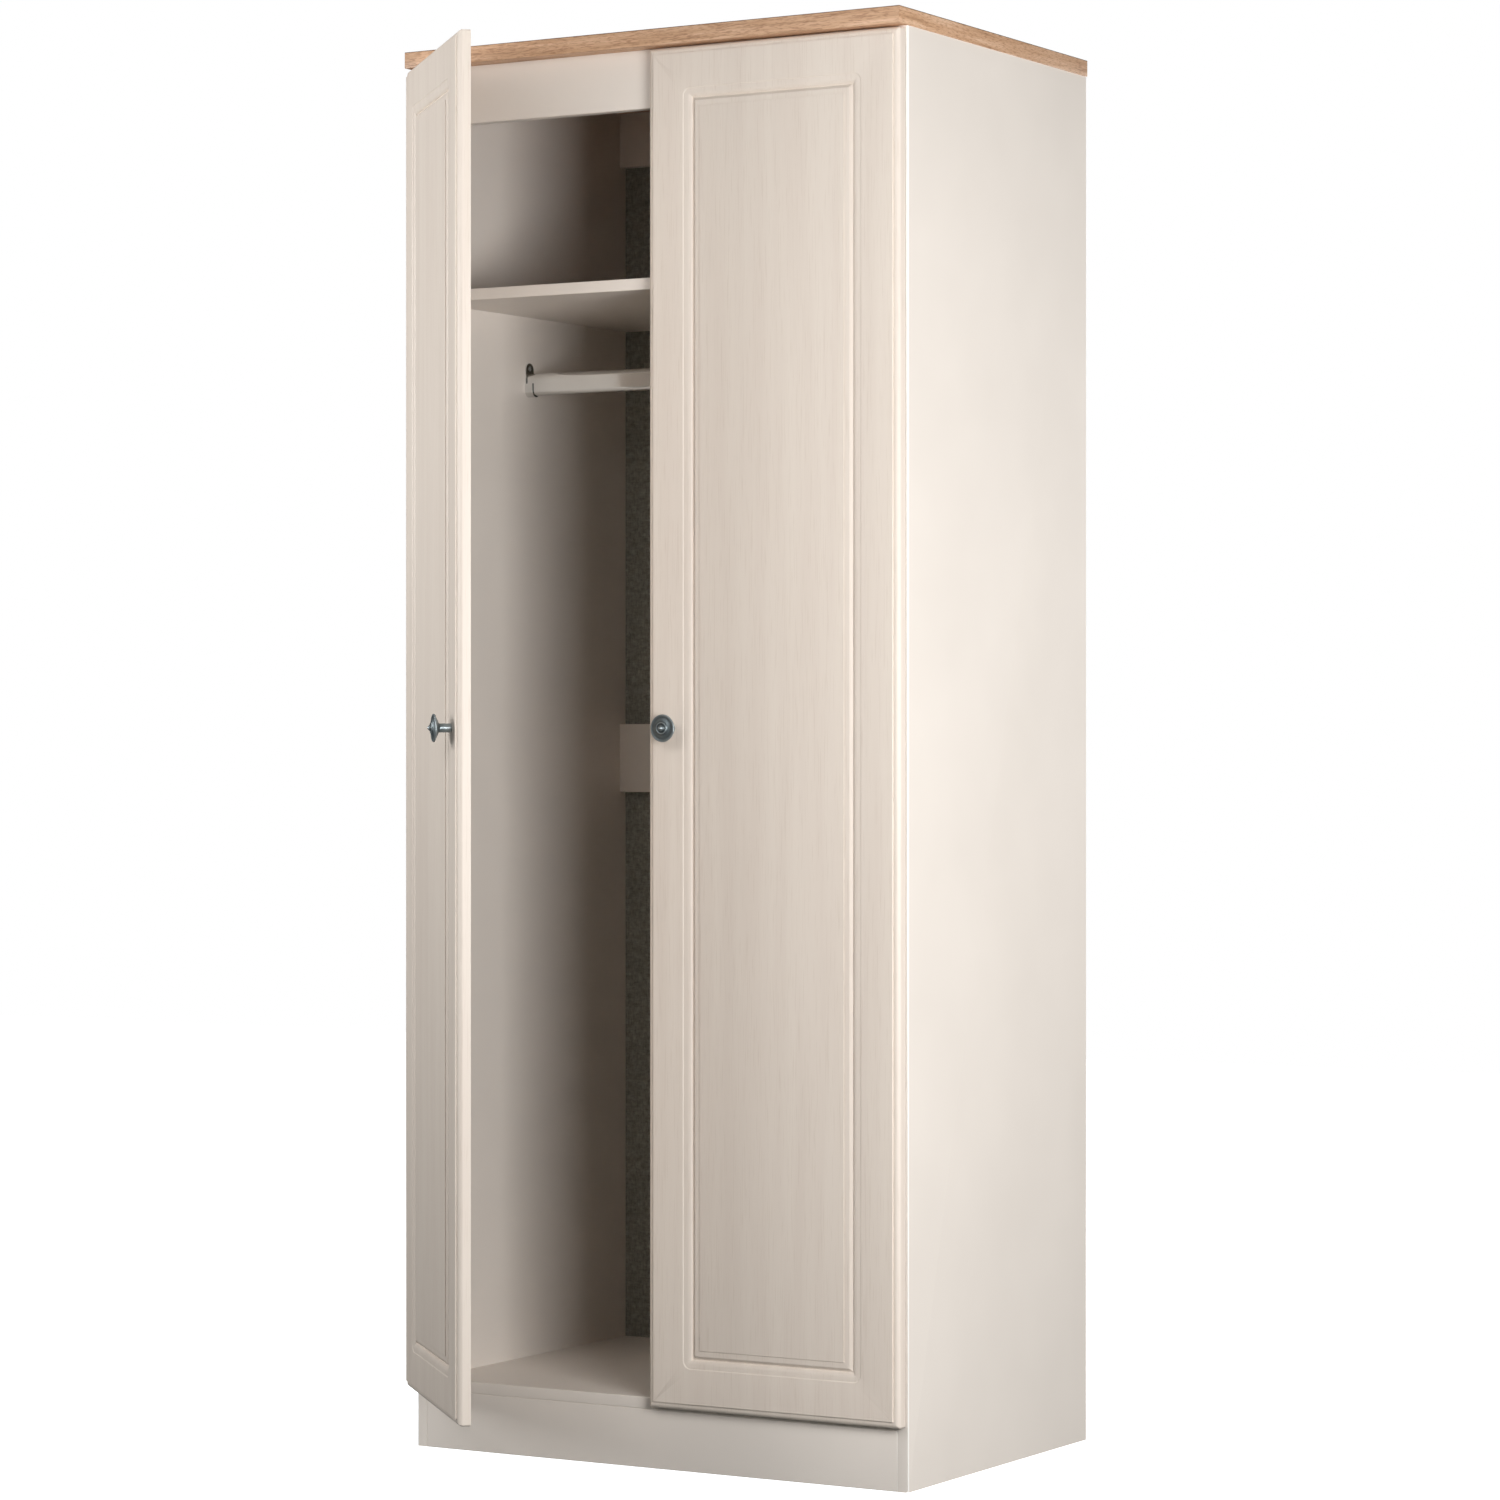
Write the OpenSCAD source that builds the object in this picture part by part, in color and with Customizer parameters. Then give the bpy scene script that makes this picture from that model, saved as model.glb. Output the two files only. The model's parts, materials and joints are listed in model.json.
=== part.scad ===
// Two-door wardrobe: melamine carcass on a plinth, oak-effect top, routed doors on
// concealed hinges, hat shelf and oval hanging rail.
// +X is to the right, +Y to the back, +Z up. x = 0 is the middle of the carcass,
// y = 0 the front edges of its side panels and z = 0 the floor.

/* [Carcass] */
// Width over the two side panels
carcass_w = 733; // [600:1:1000]
// Depth of the side panels, front edge to back edge
carcass_d = 492; // [400:1:650]
// Height of the whole wardrobe, floor to top
total_h = 1825; // [1500:1:2200]
// Thickness of the carcass boards
board_t = 15; // [12:0.5:19]
// Height of the plinth, floor to the underside of the floor panel
plinth_h = 75; // [60:1:110]
// Height of the two upper rails, front and back
top_rail_h = 75; // [60:1:110]
// Height of the rail across the middle of the back
mid_rail_h = 95; // [70:1:130]
// Floor to the underside of the middle back rail
mid_rail_z = 854; // [500:1:1050]
// Thickness of the hardboard back
back_t = 3; // [2.5:0.5:6]
// How far the back is let in from the side panels' rear edges
back_inset = 0.5; // [0.5:0.1:3]
// How far the back lies over each side panel's rebate
back_lap = 8; // [6:0.5:10]

/* [Top] */
// Thickness of the oak-effect top board
top_t = 21; // [18:0.5:30]
// Overhang of the top in front of the carcass
top_front = 26; // [21:1:40]
// Overhang of the top at each side
top_side = 2; // [0.5:0.5:20]

/* [Inside] */
// Top of the hat shelf to the underside of the top board
shelf_head = 289.5; // [200:0.5:420]
// Set-back of the shelf behind the carcass front
shelf_back = 5; // [2:1:60]
// Underside of the shelf to the middle of the hanging rail
rail_drop = 91.5; // [60:0.5:130]
// Carcass front to the middle of the hanging rail
rail_y = 242; // [180:1:320]
// Height of the oval hanging tube
tube_h = 30; // [25:1:36]
// Thickness of the oval hanging tube, front to back
tube_w = 15; // [12:1:18]
// Wall of the hanging tube
tube_wall = 1; // [0.8:0.1:2]
// Wall of the sockets that hold the tube
socket_wall = 1.65; // [1:0.05:3]
// How far a socket's cup reaches along the tube
socket_cup = 10; // [6:0.5:16]

/* [Doors] */
// Thickness of a door
door_t = 18; // [16:0.5:22]
// Gap between the carcass front and a shut door's back
door_gap = 2; // [1.8:0.1:3]
// Gap between the two shut doors
door_meet = 3; // [2:0.5:6]
// Inset of a door's hinge edge from the side panel's outer face
door_side = 2.5; // [2:0.5:3]
// Floor to the bottom edge of a door
door_z = 80; // [66:1:82]
// Gap between a door's top edge and the underside of the top
door_head = 3; // [2:0.5:10]
// Radius of a door's four corners, seen from the front
door_corner = 3; // [2:0.5:15]
// Depth of the small step round a door's edge
edge_step = 2.2; // [1:0.1:3]
// Flat at the foot of that step
edge_flat = 2.2; // [1:0.1:4]
// Radius of the rounded edge outside the step
edge_r = 6.3; // [4:0.1:8]
// Door edge to the outer line of the routed moulding
panel_margin = 53; // [45:1:80]
// Radius of that outer line's corners
panel_corner = 10.5; // [8:0.5:14]
// Depth of the fine step at the moulding's outer line
panel_step = 0.8; // [0.4:0.1:0.9]
// Depth of the moulding's groove below the door's face
groove_d = 4.8; // [3:0.1:6]
// Outer line to the bottom of the groove
groove_at = 12; // [8:0.5:13]
// Outer line to the fine step round the raised field
field_at = 24; // [20:0.5:36]
// How far the left door stands open, in degrees
left_open = 44.9; // [0:0.1:105]
// How far the right door stands open, in degrees
right_open = 0; // [0:0.1:105]

/* [Knobs] */
// Diameter of a knob's disc
knob_d = 35; // [30:0.5:40]
// Diameter of a knob's stem
stem_d = 11.5; // [8:0.5:14]
// Length of the stem, door face to the back of the disc
stem_l = 16; // [12:0.5:22]
// How far the disc and its pointed boss stand in front of the stem
disc_l = 14; // [11:0.5:18]
// Door's free edge to the middle of the knob
knob_in = 36; // [26:1:45]

/* [Hinges] */
// Number of hinges on each door
hinge_count = 4; // [2:1:5]
// Top of the floor panel to the middle of the lowest hinge
hinge_low = 90; // [60:1:160]
// Underside of the front top rail to the middle of the highest hinge
hinge_high = 30; // [28:1:80]

/* [Fastenings] */
// Diameter of the wooden dowels
dowel_d = 8; // [6:1:10]
// Depth of a dowel's end in a side panel or in the top
dowel_side = 10; // [8:0.5:11]
// Depth of a dowel's other end, in the board that it holds
dowel_end = 20; // [15:1:25]
// Board's front or back edge to its first dowel
dowel_edge = 60; // [40:1:100]
// Distance between the two dowels in a rail's end
dowel_pitch = 32; // [24:1:40]

/* [Hidden] */
$fn = 64;

cream = "#d9cec2";
vinyl = "#d4c8bc";
oak = "#bd9c7b";
hardboard = "#4a443d";
chrome = "#b9b9b6";
pewter = "#646a6d";
zinc = "#c4c2bc";
beech = "#cdb083";
rubber = "#e6e3dc";

// How far a cutter runs past the face that it cuts
past = 1;

// Carcass
half_w = carcass_w / 2;
inner_half = half_w - board_t;
side_top = total_h - top_t;
back_face = carcass_d - back_inset - back_t;
shelf_z = side_top - shelf_head - board_t;
rail_z = shelf_z - rail_drop;
rebate_gap = 0.5;

// Doors. A shut door's box runs from its hinge edge, its front face and its bottom edge.
door_w = (carcass_w - door_meet) / 2 - door_side;
door_h = side_top - door_head - door_z;
door_back = -door_gap;
door_front = door_back - door_t;
knob_x = door_side + door_w - knob_in;
knob_z = door_z + door_h / 2;
bumper_t = door_gap - 0.3;
bumper_r = 4;
bumper_in = 12;
bumper_drop = 9;

// The moulding's section: fine step, ovolo, groove, cove and the field's fine step
ovolo_at = 4;
ovolo_top = 1;
groove_flat = 1;
cove_w = 3.5;
cove_top = 1.4;
field_step = 0.7;
cove_at = groove_at + groove_flat;
ovolo = [for (a = [0:22.5:90])
    [ovolo_at + (groove_at - ovolo_at) * sin(a), groove_d - (groove_d - ovolo_top) * cos(a)]];
moulding_section = concat([[0, -past], [0, panel_step]], ovolo,
    [[cove_at, groove_d], [cove_at + cove_w, cove_top], [field_at, field_step],
    [field_at, -past]]);

// Knobs: radius and height of the outline, from the stem's foot to the pointed boss
stem_r = stem_d / 2;
disc_r = knob_d / 2;
boss_r = [4, 3];
knob_outline = [[0, 0], [stem_r, 0], [stem_r, stem_l], [disc_r - 4.5, stem_l + 3],
    [disc_r - 0.2, stem_l + 5.6], [disc_r, stem_l + 6.3], [disc_r - 0.6, stem_l + 7.1],
    [disc_r - 3, stem_l + 7.5], [disc_r - 3.5, stem_l + 8.6], [disc_r - 7, stem_l + 8.2],
    [disc_r - 7.8, stem_l + 9.4], [disc_r - 12, stem_l + 9.8], [boss_r[0], stem_l + 10.6],
    [boss_r[1], stem_l + disc_l - 1.6], [0, stem_l + disc_l]];

// Hinges, seen from above on the left side: x from the side panel's outer face,
// y from the carcass front, z from the hinge's middle, with the door shut.
// The link turns on the arm pin, and the door turns on the cup pin at the link's end.
cup_r = 17.5;
cup_wall = 0.6;
cup_depth = 13;
cup_edge = 4;
cup_x = door_side + cup_edge + cup_r;
flange_t = 0.8;
flange_r = 18.5;
arm_pin = [cup_x + 9.7, door_back - 7.5];
cup_pin = [cup_x - 13.2, door_back - 3];
link_ratio = -0.628;
pin_r = 1.25;
pin_gap = 0.05;
link_half_z = 4.7;
link_half_w = 1.8;
link_bends = [[cup_x - 12, door_back - 9], [cup_x - 4, door_back - 10]];
cup_eye_r = 2.6;
arm_eye_r = 2.8;
cheek_in = 5.1;
cheek_out = 7.1;
cheek_r = 3;
web_r = 0.8;
plate_t = 2;
arm_gap = 5.5;
arm_x = board_t + arm_gap;
web_gap = 1.6;
web_x = arm_x + web_gap;
arm_y = [26, 64];
web_path = [[arm_pin[0] - 0.5, 3], [arm_pin[0] - 3.2, 9.6], [web_x, arm_y[0] + 0.4],
    [web_x, arm_y[1] - 2]];
cheek_outline = [[arm_pin[0] + 2.5, arm_pin[1]], [arm_pin[0] + 2.7, -1.5],
    [arm_pin[0] - 1.9, 10.3], [arm_x + cheek_r, arm_y[0] + 0.7], [arm_x + cheek_r, arm_y[1]],
    [arm_x - cheek_r, arm_y[1]], [arm_x - cheek_r, arm_y[0] - 0.7], [arm_pin[0] - 7.5, 7.7],
    [arm_pin[0] - 3, -3], [arm_pin[0] - 2.5, arm_pin[1]]];
block_half_z = 5;
block_y = [30, 60];
plate_screw_y = 37;
plate_pitch = 32;
plate_half_w = 5.5;
arm_screw_y = [44, 54];
arm_screw_l = 7;
arm_head_r = 3.4;
arm_head_h = 1.6;
cup_screw_x = cup_x + 6;
cup_pitch = 48;
cup_tab_r = 7;
ear_x = cup_pin[0] + 2.2;
ear_y = cup_pin[1] - 2.8;
cup_pin_half = 8.5;

// Screws, tacks and sockets
screw_r = 1.75;
screw_head_r = 3.5;
plate_screw_l = 13;
cup_screw_l = 13;
socket_screw_l = 13;
socket_t = 2;
socket_gap = 0.1;
tube_end_gap = 0.5;
socket_w = tube_w + 2 * (socket_gap + socket_wall);
socket_h = tube_h + 2 * (socket_gap + socket_wall);
socket_lip = 1.5;
socket_tab = 14.4;
socket_top = tube_h / 2 + socket_tab;
rail_screw_z = [-tube_h / 4, tube_h / 2 + socket_tab / 2];
bolt_r = 2;
bolt_in_knob = 9;
bolt_head_r = 4;
bolt_head_h = 2.2;
tack_r = 0.6;
tack_head_r = 1.4;
tack_head = 0.4;
tack_l = 16;
tack_edge = 40;
dowel_slack = 1;

hinge_z0 = plinth_h + board_t + hinge_low;
hinge_run = side_top - top_rail_h - hinge_high - hinge_z0;
hinge_z = [for (i = [0:hinge_count - 1]) hinge_z0 + i * hinge_run / (hinge_count - 1)];

// y and z of every dowel between a side panel and the end of a board
board_y = [dowel_edge, back_face / 2, back_face - dowel_edge];
rail_ends = [[board_t / 2, plinth_h / 2], [board_t / 2, side_top - top_rail_h / 2],
    [back_face - board_t / 2, side_top - top_rail_h / 2],
    [back_face - board_t / 2, mid_rail_z + mid_rail_h / 2]];
end_dowels = concat(
    [for (y = board_y) [y, plinth_h + board_t / 2]],
    [for (y = board_y) [y, shelf_z + board_t / 2]],
    [for (p = rail_ends, s = [-1, 1]) [p[0], p[1] + s * dowel_pitch / 2]]);

// x and z of every tack in the back
side_tack_x = inner_half + back_lap / 2;
low_run = mid_rail_z - plinth_h - 2 * tack_edge;
high_z = mid_rail_z + mid_rail_h + tack_edge;
high_run = side_top - top_rail_h - tack_edge - high_z;
side_tack_z = concat([for (i = [0:2]) plinth_h + tack_edge + i * low_run / 2],
    [for (i = [0:2]) high_z + i * high_run / 2]);
board_tack_z = [plinth_h + board_t / 2, mid_rail_z + mid_rail_h / 2, shelf_z + board_t / 2,
    side_top - top_rail_h / 2];
tack_at = concat([for (s = [-1, 1], z = side_tack_z) [s * side_tack_x, z]],
    [for (s = [-1, 1], z = board_tack_z) [s * inner_half / 2, z]]);

// A vector turned clockwise by a degrees, seen from above
function turned(a, v) = [cos(a) * v[0] + sin(a) * v[1], cos(a) * v[1] - sin(a) * v[0]];
function cup_pin_at(open) = arm_pin + turned(link_ratio * open, cup_pin - arm_pin);

// ---- Placing -----------------------------------------------------------------

module left_frame() translate([-half_w, 0, 0]) children();

module right_frame() mirror([1, 0, 0]) left_frame() children();

module at_hinges() for (z = hinge_z) translate([0, 0, z]) children();

module opened_door(open)
    translate(cup_pin_at(open)) rotate([0, 0, -open]) translate(-cup_pin) children();

module opened_link(open)
    translate(arm_pin) rotate([0, 0, -link_ratio * open]) translate(-arm_pin) children();

module on_left_door() left_frame() opened_door(left_open) children();

module on_right_door() right_frame() opened_door(right_open) children();

// Turns +Z to +X, so that the point of a screw goes into the left side panel
module along_x() rotate([0, 90, 0]) children();

// Turns +Z to +Y, so that the point of a screw goes into the back of a shut door
module along_y() rotate([-90, 0, 0]) children();

// ---- Shared shapes -------------------------------------------------------------

// A straight bar with round ends, from p to q, r half-wide
module bar(p, q, r) {
    d = q - p;
    translate(p) circle(r);
    translate(q) circle(r);
    translate(p) rotate(atan2(d[1], d[0])) translate([0, -r]) square([norm(d), 2 * r]);
}

module strip(points, r)
    for (i = [0:len(points) - 2]) bar(points[i], points[i + 1], r);

module rounded_plate(w, h, r) {
    translate([r, 0]) square([w - 2 * r, h]);
    translate([0, r]) square([w, h - 2 * r]);
    for (x = [r, w - r], y = [r, h - r]) translate([x, y]) circle(r);
}

module stadium(w, h) {
    for (s = [-1, 1]) translate([0, s * (h - w) / 2]) circle(w / 2);
    square([w, h - w], center = true);
}

// A countersunk screw with its head's top at z = 0 and its point at z = -l
module screw(l)
    rotate_extrude() polygon([[0, 0], [screw_head_r, 0],
        [screw_r, screw_r - screw_head_r], [screw_r, 2 * screw_r - l], [0, -l]]);

module end_dowel()
    along_x() translate([0, 0, inner_half - dowel_end])
        cylinder(d = dowel_d, h = dowel_end + dowel_side);

module top_dowel()
    translate([half_w - board_t / 2, 0, side_top - dowel_end])
        cylinder(d = dowel_d, h = dowel_end + dowel_side);

module both_sides() {
    children();
    mirror([1, 0, 0]) children();
}

module all_end_dowels() both_sides() for (p = end_dowels) translate([0, p[0], p[1]]) end_dowel();

module all_top_dowels() both_sides() for (y = board_y) translate([0, y, 0]) top_dowel();

module tack()
    rotate([90, 0, 0]) {
        cylinder(r = tack_r, h = tack_l);
        translate([0, 0, -tack_head]) cylinder(r = tack_head_r, h = tack_head);
    }

module all_tacks()
    for (p = tack_at) translate([p[0], back_face + back_t, p[1]]) tack();

// The bores that take the ends of one board's dowels, a little longer than the dowels
module dowel_bores()
    for (s = [-1, 1], p = end_dowels)
        translate([s * (inner_half - dowel_end / 2), p[0], p[1]])
            along_x() cylinder(d = dowel_d, h = dowel_end + 2 * dowel_slack, center = true);

// A board between the side panels, drilled for its dowels and tacks
module cross_board(y0, y1, z0, z1)
    difference() {
        translate([-inner_half, y0, z0]) cube([2 * inner_half, y1 - y0, z1 - z0]);
        dowel_bores();
        all_tacks();
    }

// ---- Carcass -------------------------------------------------------------------

module worktop() color(oak)
    difference() {
        translate([-half_w - top_side, -top_front, side_top])
            cube([carcass_w + 2 * top_side, carcass_d + top_front, top_t]);
        all_top_dowels();
    }

module side_panel()
    difference() {
        translate([inner_half, 0, 0]) cube([board_t, carcass_d, side_top]);
        translate([inner_half - past, back_face, plinth_h - rebate_gap])
            cube([back_lap + rebate_gap + past, carcass_d, side_top]);
        for (p = end_dowels) translate([0, p[0], p[1]]) end_dowel();
        for (y = board_y) translate([0, y, 0]) top_dowel();
        all_tacks();
        mirror([1, 0, 0]) left_frame() {
            at_hinges() plate_screw_set();
            rail_screw_set();
        }
    }

module left_side_panel() color(cream) mirror([1, 0, 0]) side_panel();

module right_side_panel() color(cream) side_panel();

module floor_panel() color(cream) cross_board(0, back_face, plinth_h, plinth_h + board_t);

module plinth() color(cream) cross_board(0, board_t, 0, plinth_h);

module front_top_rail() color(cream) cross_board(0, board_t, side_top - top_rail_h, side_top);

module shelf() color(cream) cross_board(shelf_back, back_face, shelf_z, shelf_z + board_t);

module back_top_rail() color(cream)
    cross_board(back_face - board_t, back_face, side_top - top_rail_h, side_top);

module back_mid_rail() color(cream)
    cross_board(back_face - board_t, back_face, mid_rail_z, mid_rail_z + mid_rail_h);

module back_panel() color(hardboard)
    difference() {
        translate([-inner_half - back_lap, back_face, plinth_h])
            cube([2 * (inner_half + back_lap), back_t, side_top - plinth_h]);
        all_tacks();
    }

module back_tacks() color(zinc) all_tacks();

module dowels() color(beech) {
    all_end_dowels();
    all_top_dowels();
}

// ---- Hanging rail --------------------------------------------------------------

module hanging_rail() color(chrome)
    translate([0, rail_y, rail_z]) rotate([90, 0, 90])
        linear_extrude(2 * (inner_half - socket_t - tube_end_gap), center = true)
            difference() {
                stadium(tube_w, tube_h);
                stadium(tube_w - 2 * tube_wall, tube_h - 2 * tube_wall);
            }

// One socket in the left frame: a plate with a round top, and the cup under the tube
module rail_socket()
    difference() {
        translate([0, rail_y, rail_z]) rotate([90, 0, 90]) {
            translate([0, 0, board_t]) linear_extrude(socket_t)
                bar([0, (socket_w - socket_h) / 2], [0, socket_top - socket_w / 2], socket_w / 2);
            translate([0, 0, board_t]) linear_extrude(socket_t + socket_cup)
                difference() {
                    stadium(socket_w, socket_h);
                    stadium(tube_w + 2 * socket_gap, tube_h + 2 * socket_gap);
                    translate([-socket_w, socket_lip]) square([2 * socket_w, socket_h]);
                }
        }
        rail_screw_set();
    }

module rail_screw_set()
    for (z = rail_screw_z)
        translate([board_t + socket_t, rail_y, rail_z + z]) along_x() screw(socket_screw_l);

module left_rail_socket() color(chrome) left_frame() rail_socket();

module right_rail_socket() color(chrome) right_frame() rail_socket();

module socket_screws() color(zinc) {
    left_frame() rail_screw_set();
    right_frame() rail_screw_set();
}

// ---- Doors ---------------------------------------------------------------------

// What the edge cutter takes off, with x in from the edge and y back from the face
module edge_profile()
    difference() {
        union() {
            translate([-past, -past]) square([edge_r + edge_flat + past, edge_step + past]);
            translate([-past, -past]) square([edge_r + past, edge_r + edge_step + past]);
        }
        translate([edge_r, edge_r + edge_step]) circle(edge_r);
    }

module edge_cutters() {
    for (far = [0, 1])
        translate([far * door_w, 0, -past]) mirror([far, 0, 0])
            linear_extrude(door_h + 2 * past) edge_profile();
    for (far = [0, 1])
        translate([door_w + past, 0, far * door_h]) mirror([0, 0, far])
            rotate([0, -90, 0]) linear_extrude(door_w + 2 * past) edge_profile();
}

// One side of the moulding, along +Z with mitred ends and its outer line at x = 0
module moulding_side(l)
    intersection() {
        linear_extrude(l) polygon(moulding_section);
        rotate([90, 0, 0]) translate([0, 0, -door_t]) linear_extrude(2 * door_t)
            polygon([[0, 0], [field_at, field_at], [field_at, l - field_at], [0, l]]);
    }

module moulding_cutter() {
    panel_w = door_w - 2 * panel_margin;
    panel_h = door_h - 2 * panel_margin;
    translate([panel_margin, 0, panel_margin])
        intersection() {
            union() {
                moulding_side(panel_h);
                translate([panel_w, 0, 0]) mirror([1, 0, 0]) moulding_side(panel_h);
                mirror([0, 0, 1]) rotate([0, 90, 0]) moulding_side(panel_w);
                translate([0, 0, panel_h]) rotate([0, 90, 0]) moulding_side(panel_w);
            }
            rotate([90, 0, 0]) translate([0, 0, -door_t]) linear_extrude(2 * door_t)
                rounded_plate(panel_w, panel_h, panel_corner);
        }
}

// A shut door in the left frame
module door()
    difference() {
        translate([door_side, door_front, door_z])
            difference() {
                translate([0, door_t, 0]) rotate([90, 0, 0]) linear_extrude(door_t)
                    rounded_plate(door_w, door_h, door_corner);
                edge_cutters();
                moulding_cutter();
            }
        at_hinges() {
            cup_bore();
            cup_screw_set();
        }
        knob_bolt();
    }

module left_door() color(vinyl) on_left_door() door();

module right_door() color(vinyl) on_right_door() door();

module bumpers()
    for (z = [side_top - door_head - bumper_drop, door_z + bumper_drop / 2])
        translate([door_side + door_w - bumper_in, door_back, z])
            rotate([-90, 0, 0]) cylinder(r = bumper_r, h = bumper_t);

module left_door_bumpers() color(rubber) on_left_door() bumpers();

module right_door_bumpers() color(rubber) on_right_door() bumpers();

// ---- Knobs ---------------------------------------------------------------------

module knob()
    difference() {
        translate([knob_x, door_front, knob_z]) rotate([90, 0, 0])
            rotate_extrude() polygon(knob_outline);
        knob_bolt();
    }

// The machine screw through the door into the knob, with its round head inside
module knob_bolt()
    translate([knob_x, door_back, knob_z]) rotate([90, 0, 0]) {
        cylinder(r = bolt_r, h = door_t + bolt_in_knob);
        translate([0, 0, -bolt_head_h]) cylinder(r = bolt_head_r, h = bolt_head_h);
    }

module left_knob() color(pewter) on_left_door() knob();

module right_knob() color(pewter) on_right_door() knob();

module left_knob_screw() color(zinc) on_left_door() knob_bolt();

module right_knob_screw() color(zinc) on_right_door() knob_bolt();

// ---- Hinges --------------------------------------------------------------------

// Mounting plate on the side panel: a flat cross with a block for the arm
module hinge_plate()
    difference() {
        union() {
            translate([board_t, 0, 0]) rotate([90, 0, 90]) linear_extrude(plate_t) {
                bar([plate_screw_y, -plate_pitch / 2], [plate_screw_y, plate_pitch / 2],
                    plate_half_w);
                translate([block_y[0], -2 * block_half_z])
                    square([block_y[1] - block_y[0], 4 * block_half_z]);
            }
            translate([board_t + plate_t, block_y[0], -block_half_z])
                cube([web_x - web_r - board_t - plate_t, block_y[1] - block_y[0],
                    2 * block_half_z]);
        }
        plate_screw_set();
        arm_screw_set();
    }

module plate_screw_set()
    for (s = [-1, 1])
        translate([board_t + plate_t, plate_screw_y, s * plate_pitch / 2])
            along_x() screw(plate_screw_l);

// The two machine screws that hold and set the arm on its plate
module arm_screw_set()
    for (y = arm_screw_y)
        translate([web_x + web_r, y, 0]) along_x() {
            translate([0, 0, -arm_screw_l]) cylinder(r = bolt_r, h = arm_screw_l);
            cylinder(r = arm_head_r, h = arm_head_h);
        }

// Pressed arm: two cheeks joined by a web, from the plate forward to the arm pin
module hinge_arm()
    difference() {
        union() {
            for (s = [-1, 1])
                translate([0, 0, s * (cheek_in + cheek_out) / 2])
                    linear_extrude(cheek_out - cheek_in, center = true) {
                        polygon(cheek_outline);
                        translate(arm_pin) circle(cheek_r);
                    }
            linear_extrude(2 * cheek_out, center = true) strip(web_path, web_r);
        }
        pin(arm_pin, cheek_out + past, pin_r);
        arm_screw_set();
    }

module pin(at, half_l, r) translate(at) cylinder(r = r, h = 2 * half_l, center = true);

// Cranked link between the arm pin and the cup pin
module hinge_link()
    difference() {
        linear_extrude(2 * link_half_z, center = true) {
            strip([arm_pin, link_bends[1], link_bends[0], cup_pin], link_half_w);
            translate(arm_pin) circle(arm_eye_r);
            translate(cup_pin) circle(cup_eye_r);
        }
        pin(arm_pin, link_half_z + past, pin_r + pin_gap);
        pin(cup_pin, link_half_z + past, pin_r + pin_gap);
    }

module cup_cylinder(r, depth)
    translate([cup_x, door_back, 0]) rotate([90, 0, 0]) cylinder(r = r, h = depth);

module cup_bore()
    translate([0, past, 0]) cup_cylinder(cup_r, cup_depth + past);

// Cup let into the door, with its flange and the two ears that hold the cup pin
module hinge_cup()
    difference() {
        union() {
            difference() {
                union() {
                    cup_cylinder(cup_r, cup_depth);
                    cup_flange();
                }
                translate([0, flange_t + past, 0])
                    cup_cylinder(cup_r - cup_wall, cup_depth + flange_t + past - cup_wall);
            }
            intersection() {
                cup_cylinder(cup_r - cup_wall / 2, cup_depth);
                for (s = [-1, 1])
                    translate([cup_x - cup_r, ear_y, s > 0 ? cheek_in : -cup_r])
                        cube([ear_x - cup_x + cup_r, door_back - ear_y, cup_r - cheek_in]);
            }
        }
        pin(cup_pin, cup_pin_half, pin_r);
        cup_screw_set();
    }

module cup_flange()
    translate([cup_x, door_back + flange_t, 0]) rotate([90, 0, 0]) linear_extrude(flange_t) {
        circle(flange_r);
        bar([cup_screw_x - cup_x, -cup_pitch / 2], [cup_screw_x - cup_x, cup_pitch / 2],
            cup_tab_r);
    }

module cup_screw_set()
    for (s = [-1, 1])
        translate([cup_screw_x, door_back + flange_t, s * cup_pitch / 2])
            along_y() screw(cup_screw_l);

module left_hinge_plates() color(zinc) left_frame() at_hinges() hinge_plate();

module right_hinge_plates() color(zinc) right_frame() at_hinges() hinge_plate();

module left_hinge_arms() color(zinc) left_frame() at_hinges() hinge_arm();

module right_hinge_arms() color(zinc) right_frame() at_hinges() hinge_arm();

module plate_screws() color(zinc) {
    left_frame() at_hinges() plate_screw_set();
    right_frame() at_hinges() plate_screw_set();
}

module arm_screws() color(zinc) {
    left_frame() at_hinges() arm_screw_set();
    right_frame() at_hinges() arm_screw_set();
}

module left_arm_pins() color(zinc) left_frame() at_hinges() pin(arm_pin, cheek_out, pin_r);

module right_arm_pins() color(zinc) right_frame() at_hinges() pin(arm_pin, cheek_out, pin_r);

module left_hinge_links() color(zinc)
    left_frame() opened_link(left_open) at_hinges() hinge_link();

module right_hinge_links() color(zinc)
    right_frame() opened_link(right_open) at_hinges() hinge_link();

module left_cup_pins() color(zinc) on_left_door() at_hinges() pin(cup_pin, cup_pin_half, pin_r);

module right_cup_pins() color(zinc) on_right_door() at_hinges() pin(cup_pin, cup_pin_half, pin_r);

module left_hinge_cups() color(zinc) on_left_door() at_hinges() hinge_cup();

module right_hinge_cups() color(zinc) on_right_door() at_hinges() hinge_cup();

module left_cup_screws() color(zinc) on_left_door() at_hinges() cup_screw_set();

module right_cup_screws() color(zinc) on_right_door() at_hinges() cup_screw_set();

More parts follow.
